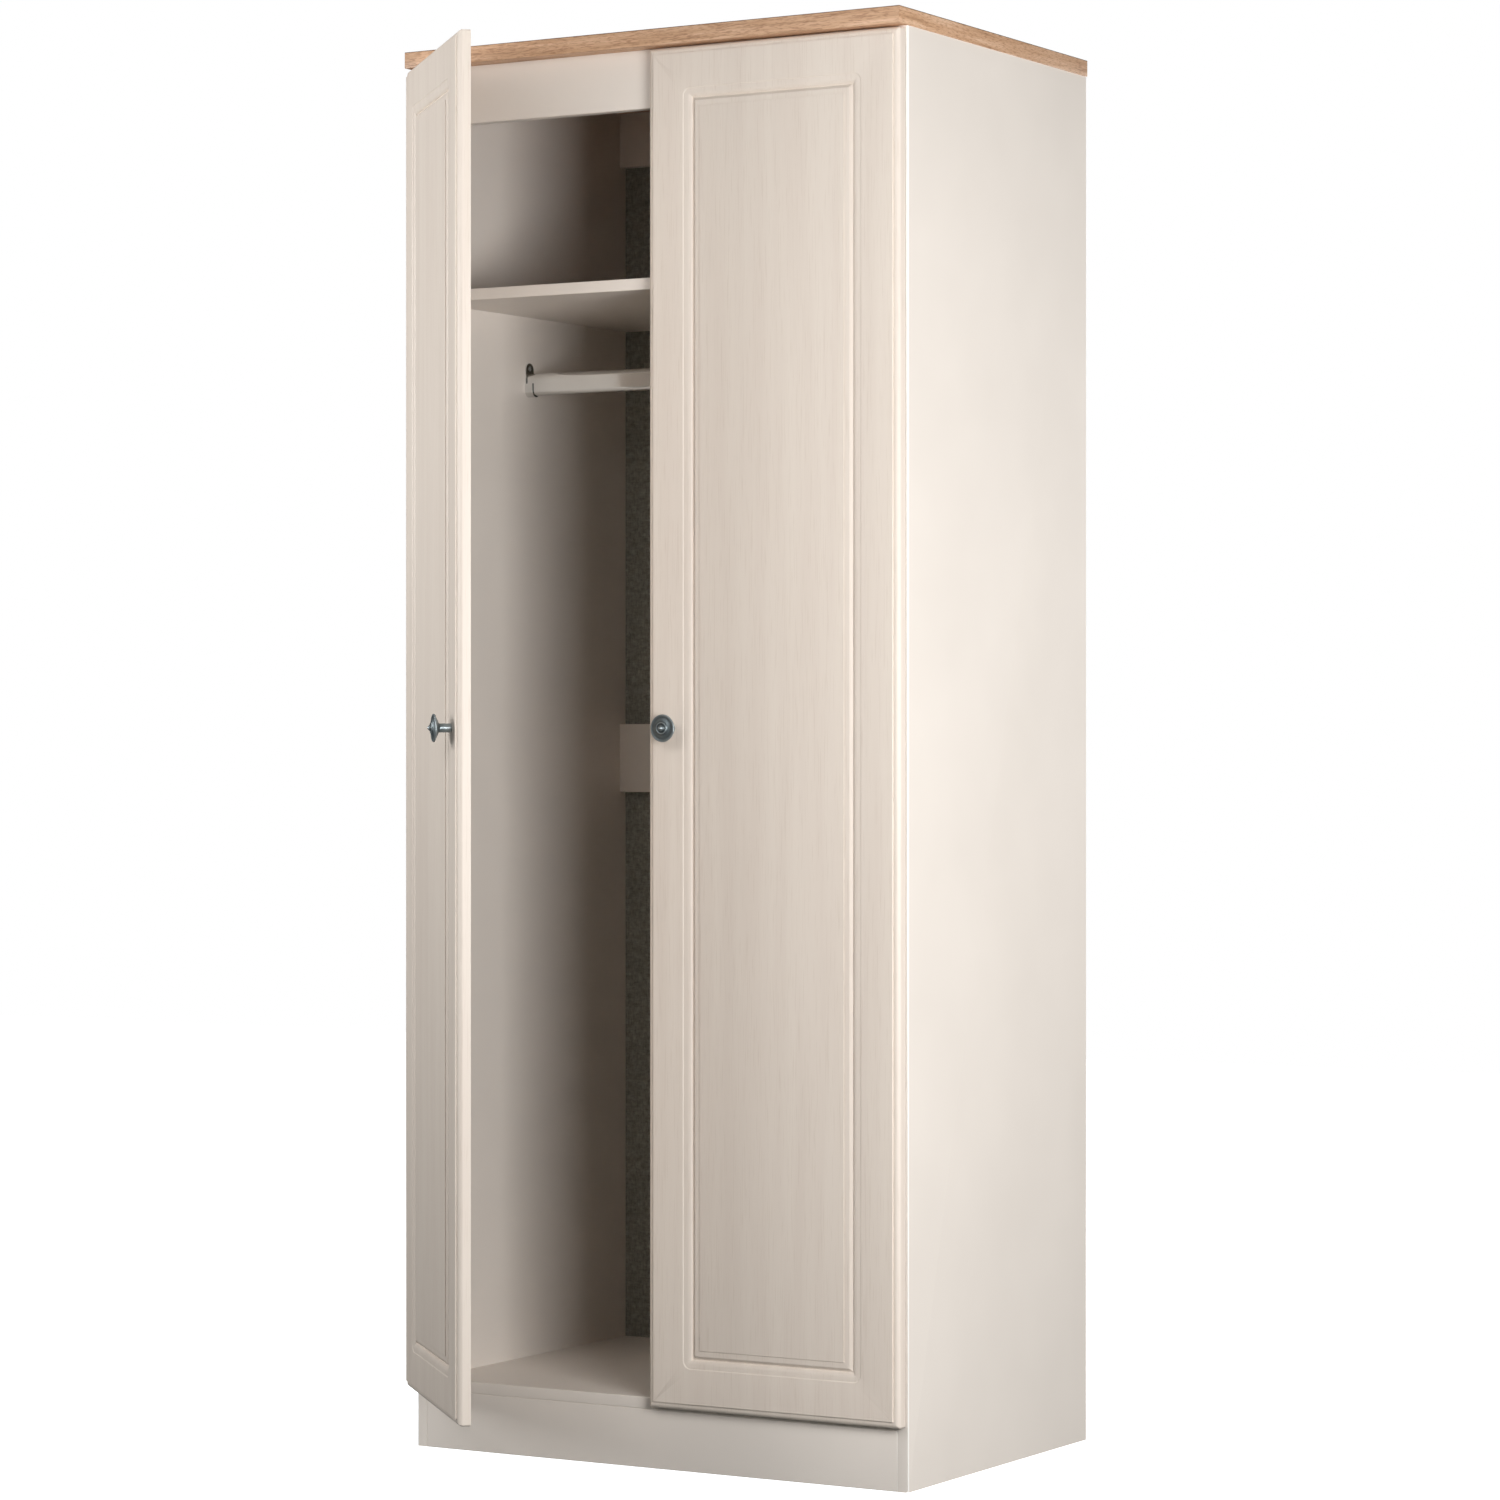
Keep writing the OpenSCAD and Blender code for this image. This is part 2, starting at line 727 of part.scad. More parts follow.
worktop();
left_side_panel();
right_side_panel();
floor_panel();
plinth();
front_top_rail();
shelf();
back_top_rail();
back_mid_rail();
back_panel();
back_tacks();
dowels();
hanging_rail();
left_rail_socket();
right_rail_socket();
socket_screws();
left_door();
right_door();
left_knob();
right_knob();
left_knob_screw();
right_knob_screw();
left_hinge_plates();
right_hinge_plates();
left_hinge_arms();
right_hinge_arms();
plate_screws();
arm_screws();
left_arm_pins();
right_arm_pins();
left_hinge_links();
right_hinge_links();
left_cup_pins();
right_cup_pins();
left_hinge_cups();
right_hinge_cups();
left_cup_screws();
right_cup_screws();
left_door_bumpers();
right_door_bumpers();
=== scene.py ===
# %% [markdown]
# # A two-door wardrobe
# The wardrobe is a melamine box on a plinth, with an oak-effect top, two routed doors
# and a hanging rail inside. The exact boards, hinges and rail come ready made as the
# frame. This lesson adds what the eye reads: shaped doors, turned knobs, an edged top,
# screw heads, real finishes, light and a camera.

# %% Load the frame
import json
import math

import bmesh
import bpy
import numpy as np
from mathutils import Matrix, Vector


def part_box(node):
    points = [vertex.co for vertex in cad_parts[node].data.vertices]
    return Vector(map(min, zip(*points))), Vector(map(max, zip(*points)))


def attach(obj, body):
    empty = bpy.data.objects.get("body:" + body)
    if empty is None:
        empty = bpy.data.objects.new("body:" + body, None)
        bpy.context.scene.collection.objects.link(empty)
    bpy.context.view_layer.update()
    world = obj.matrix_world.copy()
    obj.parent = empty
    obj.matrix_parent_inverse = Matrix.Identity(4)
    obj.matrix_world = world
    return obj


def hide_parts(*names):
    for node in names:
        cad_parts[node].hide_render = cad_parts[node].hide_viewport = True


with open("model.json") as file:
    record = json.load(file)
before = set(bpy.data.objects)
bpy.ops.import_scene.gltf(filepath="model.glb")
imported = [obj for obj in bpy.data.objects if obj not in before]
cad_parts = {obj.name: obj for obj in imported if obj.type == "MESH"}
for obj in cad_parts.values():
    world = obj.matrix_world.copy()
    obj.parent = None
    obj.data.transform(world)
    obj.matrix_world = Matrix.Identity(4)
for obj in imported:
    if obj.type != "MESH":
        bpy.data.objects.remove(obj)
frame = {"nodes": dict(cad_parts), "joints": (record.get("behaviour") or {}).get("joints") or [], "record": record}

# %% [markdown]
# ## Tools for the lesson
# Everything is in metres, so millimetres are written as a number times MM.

MM = 0.001
nodes = frame["nodes"]
joints = {j["name"]: j for j in frame["joints"]}
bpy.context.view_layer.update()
scene = bpy.context.scene


# %% Mesh helpers
def new_piece(name, mesh, finish, body):
    """A mesh object at the origin with one finish, riding on a body of the frame."""
    piece = bpy.data.objects.new(name, mesh)
    scene.collection.objects.link(piece)
    mesh.materials.clear()
    mesh.materials.append(finish)
    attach(piece, body)
    return piece


def mesh_from(name, vertices, faces):
    """A mesh from plain lists, with its faces turned outwards."""
    mesh = bpy.data.meshes.new(name)
    mesh.from_pydata([tuple(v) for v in vertices], [], faces)
    shape = bmesh.new()
    shape.from_mesh(mesh)
    bmesh.ops.remove_doubles(shape, verts=shape.verts, dist=1e-7)
    bmesh.ops.recalc_face_normals(shape, faces=shape.faces)
    shape.to_mesh(mesh)
    shape.free()
    return mesh


def soften(mesh, degrees):
    """Smooth shading on curved faces, crisp where faces meet at more than this angle.

    A face square to an axis is a true flat, so it keeps flat shading. Otherwise a small
    bevel beside it would tilt its corner normals and shade the whole flat like a pillow.
    """
    square = [max(abs(c) for c in face.normal) > 0.99999 for face in mesh.polygons]
    mesh.polygons.foreach_set("use_smooth", [not flat for flat in square])
    mesh.set_sharp_from_angle(angle=math.radians(degrees))


def baked(mesh_object, name):
    """The evaluated shape of an object as a plain mesh."""
    graph = bpy.context.evaluated_depsgraph_get()
    mesh = bpy.data.meshes.new_from_object(mesh_object.evaluated_get(graph))
    mesh.name = name
    return mesh


def solids_of(node):
    """The box of each separate solid in a CAD node, as (lowest, highest) corners."""
    shape = bmesh.new()
    shape.from_mesh(nodes[node].data)
    bmesh.ops.remove_doubles(shape, verts=shape.verts, dist=1e-6)
    waiting = set(shape.verts)
    boxes = []
    while waiting:
        group = [waiting.pop()]
        for vertex in group:
            for edge in vertex.link_edges:
                other = edge.other_vert(vertex)
                if other in waiting:
                    waiting.remove(other)
                    group.append(other)
        places = np.array([v.co[:] for v in group])
        boxes.append((Vector(places.min(0)), Vector(places.max(0))))
    shape.free()
    return sorted(boxes, key=lambda b: (round(b[0].z, 4), round(b[0].x, 4)))


# %% [markdown]
# ## Material tools
# A hex colour is what a paint card gives, but a shader works in linear light, so one
# function turns it over. One more function adds a node with its settings and inputs,
# and every material below is written with it. The patterns are all one thing, lumps of a
# real size that may be drawn out into grain, so they share a function as well.

# %% Colour and node helpers
def linear(code):
    """An sRGB hex colour as linear RGBA."""
    parts = [int(code[i:i + 2], 16) / 255 for i in (1, 3, 5)]
    return (*[c / 12.92 if c <= 0.04045 else ((c + 0.055) / 1.055) ** 2.4 for c in parts], 1.0)


def wire(tree, node, inputs):
    """Give inputs plain values, output sockets, or nodes, which stand for their first output."""
    for key, value in inputs.items():
        if isinstance(value, bpy.types.Node):
            value = value.outputs[0]
        if isinstance(value, bpy.types.NodeSocket):
            tree.links.new(value, node.inputs[key])
        else:
            node.inputs[key].default_value = value


def add(tree, kind, settings=None, inputs=None):
    """One node with its settings and inputs. The stops of a colour ramp are (place, hex) pairs."""
    made = tree.nodes.new(kind)
    for key, value in (settings or {}).items():
        if key != "stops":
            setattr(made, key, value)
            continue
        elements = made.color_ramp.elements
        while len(elements) < len(value):
            elements.new(0.5)
        for element, (place, code) in zip(elements, value):
            element.position = place
            element.color = linear(code)
    wire(tree, made, inputs or {})
    return made


def start_finish(name, roughness, metallic=0.0):
    """A material with its shader, and its object coordinates in metres."""
    finish = bpy.data.materials.new(name)
    finish.use_nodes = True
    tree = finish.node_tree
    shader = tree.nodes["Principled BSDF"]
    shader.inputs["Roughness"].default_value = roughness
    shader.inputs["Metallic"].default_value = metallic
    places = add(tree, "ShaderNodeTexCoord").outputs["Object"]
    return finish, tree, shader, places


def pattern(tree, places, size_mm, stretch=(1, 1, 1), detail=3.0, rough=0.55):
    """Lumps about size_mm across, drawn out along an axis by stretch."""
    scale = tuple(1 / s for s in stretch)
    mapped = add(tree, "ShaderNodeMapping", None, {"Vector": places, "Scale": scale})
    return add(tree, "ShaderNodeTexNoise", None, {
        "Vector": mapped, "Scale": 1 / (size_mm * MM), "Detail": detail, "Roughness": rough})


# %% [markdown]
# ## Melamine-faced chipboard
# The carcass boards are chipboard pressed with a resin-soaked cream paper. The press
# plate leaves a fine satin orange peel that softens reflections without showing as
# texture. It is about half a millimetre across, and is drawn at a little over one so
# that it has any effect at this size. Cloudy paper gives a faint unevenness.

# %% Cream melamine
def cream_melamine():
    finish, tree, shader, places = start_finish("satin cream melamine", 0.42)
    clouds = pattern(tree, places, 180, detail=2.0)
    shade = add(tree, "ShaderNodeValToRGB", {"stops": [(0.3, "#e4dbd2"), (0.7, "#e8dfd6")]},
                {"Fac": clouds})
    peel = pattern(tree, places, 1.2, detail=2.0)
    relief = add(tree, "ShaderNodeBump", None, {
        "Height": peel, "Distance": 0.02 * MM, "Strength": 0.5})
    gloss = add(tree, "ShaderNodeMapRange", None, {
        "Value": pattern(tree, places, 60), "To Min": 0.38, "To Max": 0.46})
    wire(tree, shader, {"Base Color": shade, "Normal": relief, "Roughness": gloss})
    return finish


# %% [markdown]
# ## Plastic edging
# The boards' front edges are covered by a strip of the same cream plastic. Its arris is
# scraped round by hand, which leaves it smoother than the board, with faint lines along
# the scraper's path. Its paler cream is a painted highlight: the bright line that light
# catches along the rounded arris.

# %% Plastic edging
def painted_highlight_edging():
    finish, tree, shader, places = start_finish("plastic edging with painted highlight", 0.34)
    highlight_streaks = pattern(tree, places, 3, stretch=(1, 1, 20), detail=2.0)
    # The paler cream is a painted highlight for the bright line along the rounded arris.
    shade = add(tree, "ShaderNodeValToRGB", {"stops": [(0.3, "#f4f0ea"), (0.7, "#faf7f2")]},
                {"Fac": highlight_streaks})
    gloss = add(tree, "ShaderNodeMapRange", None, {
        "Value": highlight_streaks, "To Min": 0.3, "To Max": 0.38})
    wire(tree, shader, {"Base Color": shade, "Roughness": gloss})
    return finish


# %% [markdown]
# ## Vinyl wrap on fibreboard
# The doors are routed fibreboard with a matt vinyl film drawn over them under vacuum.
# The film is embossed with an ash grain: fine upright pores, a millimetre or so apart
# and many times longer than wide, over slow bands of the same cream.

# %% Door wrap
def door_wrap():
    finish, tree, shader, places = start_finish("woodgrain vinyl wrap", 0.5)
    bands = pattern(tree, places, 22, stretch=(1, 1, 22), detail=2.0)
    pores = pattern(tree, places, 1.3, stretch=(1, 1, 38), detail=2.0, rough=0.5)
    ground = add(tree, "ShaderNodeValToRGB", {"stops": [(0.35, "#dfd2c6"), (0.65, "#e3d7cb")]},
                 {"Fac": bands})
    lines = add(tree, "ShaderNodeValToRGB", {"stops": [(0.3, "#ebe6e1"), (0.44, "#ffffff")]},
                {"Fac": pores})
    mixed = add(tree, "ShaderNodeMix", {"data_type": "RGBA", "blend_type": "MULTIPLY"}, {
        "Factor": 0.35, "A": ground, "B": lines})
    relief = add(tree, "ShaderNodeBump", None, {
        "Height": pores, "Distance": 0.03 * MM, "Strength": 0.35})
    gloss = add(tree, "ShaderNodeMapRange", None, {
        "Value": bands, "To Min": 0.46, "To Max": 0.54})
    wire(tree, shader, {"Base Color": mixed.outputs["Result"], "Normal": relief, "Roughness": gloss})
    return finish


# %% [markdown]
# ## Oak-effect laminate
# The top is a printed light oak paper under a satin resin. Growth rings show as
# streaks a few millimetres apart that run the length of each face, with short darker
# pores among them. The grain turns with the face, so the same finish is made once for
# the board and the front edging, and once for the two end edgings.

# %% Oak effect
def oak_laminate(name, stretch):
    finish, tree, shader, places = start_finish(name, 0.5)
    rings = pattern(tree, places, 5, stretch=stretch, detail=5.0, rough=0.6)
    pores = pattern(tree, places, 1.1, stretch=tuple(min(s, 9) for s in stretch), detail=3.0)
    shade = add(tree, "ShaderNodeValToRGB",
                {"stops": [(0.3, "#a98262"), (0.45, "#c69d7b"), (0.6, "#d4ad8d"), (0.75, "#e2c0a2")]},
                {"Fac": rings})
    dark = add(tree, "ShaderNodeValToRGB", {"stops": [(0.36, "#a98665"), (0.5, "#ffffff")]},
               {"Fac": pores})
    mixed = add(tree, "ShaderNodeMix", {"data_type": "RGBA", "blend_type": "MULTIPLY"}, {
        "Factor": 0.55, "A": shade, "B": dark})
    relief = add(tree, "ShaderNodeBump", None, {
        "Height": pores, "Distance": 0.05 * MM, "Strength": 0.5})
    gloss = add(tree, "ShaderNodeMapRange", None, {
        "Value": rings, "To Min": 0.55, "To Max": 0.42})
    wire(tree, shader, {"Base Color": mixed.outputs["Result"], "Normal": relief, "Roughness": gloss})
    return finish


# %% [markdown]
# ## The laminate sheet's core
# Under its printed face the sheet is brown kraft paper pressed with resin. It shows only
# as the thin trimmed edge above the edging, a dull line with faint layers.

# %% Cut edge of the laminate sheet
def sheet_core():
    finish, tree, shader, places = start_finish("laminate sheet's brown core", 0.55)
    layers = pattern(tree, places, 6, stretch=(8, 8, 1), detail=3.0)
    shade = add(tree, "ShaderNodeValToRGB", {"stops": [(0.3, "#55412f"), (0.7, "#6d563f")]},
                {"Fac": layers})
    wire(tree, shader, {"Base Color": shade})
    return finish


# %% [markdown]
# ## Hardboard
# The back is grey-brown hardboard. Wood fibres are pressed on a wire screen, which
# leaves a fine woven pattern and a dry, mottled look. The screen's mesh is about two
# millimetres, and is drawn at three so that it shows.

# %% Hardboard
def brown_hardboard():
    finish, tree, shader, places = start_finish("brown hardboard", 0.7)
    fibres = pattern(tree, places, 3, stretch=(3, 1, 1), detail=6.0, rough=0.7)
    across = pattern(tree, places, 3, stretch=(1, 1, 3), detail=6.0, rough=0.7)
    both = add(tree, "ShaderNodeMath", {"operation": "MULTIPLY"}, {0: fibres, 1: across})
    shade = add(tree, "ShaderNodeValToRGB", {"stops": [(0.15, "#716f67"), (0.4, "#a8a69c")]},
                {"Fac": both})
    relief = add(tree, "ShaderNodeBump", None, {
        "Height": both, "Distance": 0.3 * MM, "Strength": 0.7})
    wire(tree, shader, {"Base Color": shade, "Normal": relief})
    return finish


# %% [markdown]
# ## Metals
# Chrome plate is a mirror with a few faint rub marks. The hinges are steel with satin
# nickel, and the screws are bright zinc, each a little rougher. The knobs are cast zinc
# with an antiqued pewter finish: darker in the hollows and rubbed paler on the rims. Its
# dark wax covers part of the metal, so the finish is only three quarters metallic.

# %% Plated metals
def plated(name, code, low, high, grain_mm):
    finish, tree, shader, places = start_finish(name, low, 1.0)
    shader.inputs["Base Color"].default_value = linear(code)
    marks = pattern(tree, places, grain_mm, detail=4.0)
    gloss = add(tree, "ShaderNodeMapRange", None, {
        "Value": marks, "To Min": low, "To Max": high})
    relief = add(tree, "ShaderNodeBump", None, {
        "Height": marks, "Distance": 0.01 * MM, "Strength": 0.3})
    wire(tree, shader, {"Normal": relief, "Roughness": gloss})
    return finish


def antique_pewter():
    finish, tree, shader, places = start_finish("antiqued pewter", 0.35, 0.75)
    cast = pattern(tree, places, 1.5, detail=5.0, rough=0.6)
    edges = add(tree, "ShaderNodeNewGeometry").outputs["Pointiness"]
    rubbed = add(tree, "ShaderNodeMapRange", None, {
        "Value": edges, "From Min": 0.47, "From Max": 0.56}).outputs["Result"]
    both = add(tree, "ShaderNodeMath", {"operation": "MULTIPLY_ADD"}, {
        0: cast, 1: 0.35, 2: rubbed})
    shade = add(tree, "ShaderNodeValToRGB",
                {"stops": [(0.2, "#565e61"), (0.65, "#7b8487"), (1.0, "#a3abad")]},
                {"Fac": both})
    relief = add(tree, "ShaderNodeBump", None, {
        "Height": cast, "Distance": 0.15 * MM, "Strength": 0.8})
    gloss = add(tree, "ShaderNodeMapRange", None, {
        "Value": cast, "To Min": 0.3, "To Max": 0.48})
    wire(tree, shader, {"Base Color": shade, "Normal": relief, "Roughness": gloss})
    return finish


# %% [markdown]
# ## Small parts
# Dowels are bare beech, with short flecks along the grain, which runs along X as most of
# the dowels do. The door buffers are soft clear polyurethane, milky from a distance.

# %% Beech and buffers
def bare_beech():
    finish, tree, shader, places = start_finish("bare beech", 0.6)
    flecks = pattern(tree, places, 1.5, stretch=(12, 1, 1), detail=4.0)
    shade = add(tree, "ShaderNodeValToRGB", {"stops": [(0.35, "#b98f61"), (0.65, "#d9b88c")]},
                {"Fac": flecks})
    relief = add(tree, "ShaderNodeBump", None, {
        "Height": flecks, "Distance": 0.05 * MM, "Strength": 0.6})
    wire(tree, shader, {"Base Color": shade, "Normal": relief})
    return finish


def clear_buffer():
    finish, tree, shader, places = start_finish("clear polyurethane", 0.25)
    haze = pattern(tree, places, 2.0)
    shade = add(tree, "ShaderNodeValToRGB", {"stops": [(0.3, "#dedcd5"), (0.7, "#eeede8")]},
                {"Fac": haze})
    shader.inputs["Subsurface Weight"].default_value = 0.3
    shader.inputs["Subsurface Scale"].default_value = 2 * MM
    gloss = add(tree, "ShaderNodeMapRange", None, {
        "Value": haze, "To Min": 0.2, "To Max": 0.32})
    wire(tree, shader, {"Base Color": shade, "Roughness": gloss})
    return finish


# %% Make the finishes
MELAMINE = cream_melamine()
# The edging's paler finish is a painted highlight on the side panels' arrises.
EDGE_HIGHLIGHT_FINISH = painted_highlight_edging()
WRAP = door_wrap()
OAK_LONG = oak_laminate("oak laminate, grain along the front", (26, 1, 1))
OAK_END = oak_laminate("oak laminate, grain along the ends", (1, 26, 1))
SHEET_CORE = sheet_core()
HARDBOARD = brown_hardboard()
CHROME = plated("chrome plate", "#dcdcda", 0.08, 0.16, 9)
NICKEL = plated("satin nickel plate", "#c9c5bc", 0.24, 0.36, 4)
ZINC = plated("bright zinc plate", "#c3c4c4", 0.22, 0.34, 2)
PEWTER = antique_pewter()
BEECH = bare_beech()
BUFFER = clear_buffer()
print("finishes", len(bpy.data.materials))

# %% [markdown]
# ## Dress the frame's own parts
# Boards, hinges and the rail already have their true shape, so they only take a finish.

# %% Finishes for carried parts
DRESS = {
    "cream_melamine": MELAMINE, "hardboard": HARDBOARD, "chrome": CHROME,
    "nickel_steel": NICKEL, "zinc_steel": ZINC, "beech": BEECH, "pewter": PEWTER,
    "clear_buffer": BUFFER, "vinyl_wrap": WRAP, "oak_laminate": OAK_LONG}
slot_of = {s["node"]: s["material_slot"] for s in frame["record"]["subparts"]}
for node, part in nodes.items():
    part.data.materials.clear()
    part.data.materials.append(DRESS[slot_of[node]])
print("dressed", len(nodes))

# %% [markdown]
# ## Where the left door stands
# The right door is shut and the left one is open. Each concealed hinge carries its door
# on a link, so the door doesn't turn about one fixed point. The joints hold all that is
# needed: the coupling's ratio gives the link's share of the turn, the swing's range
# gives the opening at rest, and the mirrored right pivot is where the left one sits
# when shut.

# %% The shut-to-open move of the left door
share = frame["record"]["behaviour"]["couplings"][0]["ratio"]
link_ratio = share / (1 + share)
swing = joints["left_door_swing"]
opening = -swing["range_deg"][0] / (1 - link_ratio)
pivot_open = Vector(swing["pos_m"])
right_pivot = Vector(joints["right_door_swing"]["pos_m"])
pivot_shut = Vector((-right_pivot.x, right_pivot.y, pivot_open.z))
LEFT_OPEN = (Matrix.Translation(pivot_open)
             @ Matrix.Rotation(math.radians(-opening), 4, "Z")
             @ Matrix.Translation(-pivot_shut))
MIRROR = Matrix.Scale(-1, 4, (1, 0, 0))
print("left door stands open", round(opening, 2), "degrees")


def left_copy(mesh, name):
    """A right-hand mesh mirrored to the left and swung open with the left door."""
    made = mesh.copy()
    made.name = name
    made.transform(LEFT_OPEN @ MIRROR)
    made.flip_normals()
    return made


# %% [markdown]
# ## The doors
# A wrapped door is one board whose whole face was cut by routers that followed its
# edge: a stepped, rounded rim, then a raised panel with an ovolo, a groove and a cove.
# Every cut keeps the same distance from the edge, so the door is built as a stack of
# rectangular rings, each with its inset, depth and corner radius. A sweep would keep
# one corner radius all through, but here the outer lines are round and the inner ones
# are sharp, and the rings allow both.

# %% Door sizes from the frame
door_lo, door_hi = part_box("right_door")
door_t = door_hi.y - door_lo.y
CORNER_STEPS = 8
OUTER_CORNER = 3 * MM
RIM_FLAT = 2.2 * MM
RIM_STEP = 2.2 * MM
RIM_ROUND = 6.3 * MM
RIM_ROUND_STEPS = 12
BACK_EASE = 0.4 * MM
PANEL_MARGIN = 53 * MM
PANEL_CORNER = 10.5 * MM
SHARP = 0.3 * MM
print("door", [round(v / MM, 1) for v in door_hi - door_lo])


# %% The cut across a door's rim and panel
def rim_rings():
    """(inset, depth, corner radius) from the back arris to the face."""
    rings = [(BACK_EASE, door_t), (0.3 * BACK_EASE, door_t - 0.3 * BACK_EASE),
             (0, door_t - BACK_EASE)]
    for i in range(RIM_ROUND_STEPS + 1):
        a = math.radians(90 * i / RIM_ROUND_STEPS)
        rings.append((RIM_ROUND * (1 - math.cos(a)),
                      RIM_STEP + RIM_ROUND * (1 - math.sin(a))))
    foot = RIM_ROUND + RIM_FLAT
    rings += [(foot - 0.25 * MM, RIM_STEP), (foot - 0.05 * MM, RIM_STEP - 0.2 * MM),
              (foot, 0.35 * MM), (foot + 0.1 * MM, 0.1 * MM), (foot + 0.35 * MM, 0)]
    return [(inset, depth, max(OUTER_CORNER - inset, SHARP)) for inset, depth in rings]


# The panel's moulding, in millimetres. The flat band outside and the raised field inside
# are pairs of distance in from the outer line and depth, with an ovolo and a cove between
LISTEL = [(-0.7, 0), (-0.4, 0.05), (-0.1, 0.22), (0.4, 0.7), (0.7, 0.84), (1.0, 0.88),
          (3.5, 0.95), (3.8, 0.97)]
OVOLO_AT, OVOLO_W, OVOLO_H, OVOLO_STEPS = 4, 8, 3.8, 8
GROOVE_DEPTH = 4.8
COVE_AT, COVE_W, COVE_H, COVE_STEPS = 12.6, 4.8, 3.4, 10
FIELD = [(17.8, 1.38), (23.5, 1.1), (23.9, 1.08), (24, 1.0), (24.1, 0.12), (24.2, 0.03),
         (24.4, 0)]


def panel_rings():
    """(inset, depth, corner radius) from the frame's flat to the raised field."""
    cut = list(LISTEL)
    for i in range(OVOLO_STEPS + 1):
        a = math.radians(90 * i / OVOLO_STEPS)
        cut.append((OVOLO_AT + OVOLO_W * math.sin(a), GROOVE_DEPTH - OVOLO_H * math.cos(a)))
    for i in range(COVE_STEPS + 1):
        part = i / COVE_STEPS
        rise = part ** 2 * (3 - 2 * part)
        cut.append((COVE_AT + COVE_W * part, GROOVE_DEPTH - COVE_H * rise))
    cut += FIELD
    return [(PANEL_MARGIN + x * MM, y * MM, max(PANEL_CORNER - x * MM, SHARP))
            for x, y in cut]


# %% Build a door from its rings
def ring_points(inset, depth, radius):
    """A rectangle with round corners, parallel to the door's outline."""
    points = []
    corners = [(door_hi.x - inset, door_hi.z - inset, 0), (door_lo.x + inset, door_hi.z - inset, 90),
               (door_lo.x + inset, door_lo.z + inset, 180), (door_hi.x - inset, door_lo.z + inset, 270)]
    for x, z, turn in corners:
        middle_x = x - radius * math.copysign(1, math.cos(math.radians(turn + 45)))
        middle_z = z - radius * math.copysign(1, math.sin(math.radians(turn + 45)))
        for i in range(CORNER_STEPS + 1):
            a = math.radians(turn + 90 * i / CORNER_STEPS)
            points.append((middle_x + radius * math.cos(a), door_lo.y + depth,
                           middle_z + radius * math.sin(a)))
    return points


def door_mesh():
    """One closed door board, with a plain back."""
    rings = rim_rings() + panel_rings()
    vertices = [p for ring in rings for p in ring_points(*ring)]
    count = 4 * (CORNER_STEPS + 1)
    faces = [list(range(count))]
    for r in range(len(rings) - 1):
        for i in range(count):
            j = (i + 1) % count
            faces.append([r * count + i, r * count + j, (r + 1) * count + j, (r + 1) * count + i])
    faces.append(list(range((len(rings) - 1) * count, len(rings) * count)))
    return mesh_from("door", vertices, faces)


# %% [markdown]
# ## Cup bores
# The hinge cups are let into blind bores in the door's back. A Boolean cuts them, one
# cylinder for each cup that the frame has, and the result is kept as a plain mesh.

# %% Bore the door
CUP_R = 17.5 * MM
FLANGE_R = 18.5 * MM
CUP_DEPTH = 13 * MM
cups = solids_of("right_hinge_cups")


def cup_cutter():
    """Cylinders at the cups, a little longer than the bores at their open end."""
    shape = bmesh.new()
    for low, high in cups:
        place = Vector((high.x - FLANGE_R, door_hi.y - CUP_DEPTH / 2 + 0.5 * MM,
                        (low.z + high.z) / 2))
        turn = Matrix.Translation(place) @ Matrix.Rotation(math.pi / 2, 4, "X")
        bmesh.ops.create_cone(shape, cap_ends=True, segments=96, radius1=CUP_R,
                              radius2=CUP_R, depth=CUP_DEPTH + MM, matrix=turn)
    mesh = bpy.data.meshes.new("cup cutter")
    shape.to_mesh(mesh)
    shape.free()
    return mesh


def bored(mesh, cutter_mesh):
    """The mesh with the cutter taken away by the exact Boolean."""
    board = bpy.data.objects.new("board", mesh)
    cutter = bpy.data.objects.new("cutter", cutter_mesh)
    for thing in (board, cutter):
        scene.collection.objects.link(thing)
    cut = board.modifiers.new("bores", "BOOLEAN")
    cut.object = cutter
    cut.solver = "EXACT"
    made = baked(board, "bored")
    bpy.data.objects.remove(board)
    bpy.data.objects.remove(cutter)
    return made


right_door_mesh = bored(door_mesh(), cup_cutter())
soften(right_door_mesh, 20)
left_door_mesh = left_copy(right_door_mesh, "left door")
right_door = new_piece("right_door_wrapped", right_door_mesh, WRAP, "right_door")
left_door = new_piece("left_door_wrapped", left_door_mesh, WRAP, "left_door")
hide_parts("right_door")
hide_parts("left_door")
print("door faces", len(right_door_mesh.polygons), "cups", len(cups))

# %% [markdown]
# ## The knobs
# Each knob is a turned casting: a plain stem, a flared back, a rolled rim and stepped
# rings that rise to a pointed boss. A lathe shape is a half outline spun about its
# axis, so the outline is written as radius and height pairs and swept in a circle.

# %% The knob's outline
knob_lo, knob_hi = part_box("right_knob")
KNOB_STEPS = 96
DISC_R = (knob_hi.x - knob_lo.x) / 2
STEM_R = 5.75 * MM
STEM_L = 16 * MM
KNOB_L = knob_hi.y - knob_lo.y


def arc(middle, radius, start, end, steps):
    """Points on an arc in the outline's plane."""
    made = []
    for i in range(steps + 1):
        a = math.radians(start + (end - start) * i / steps)
        made.append((middle[0] + radius * math.cos(a), middle[1] + radius * math.sin(a)))
    return made


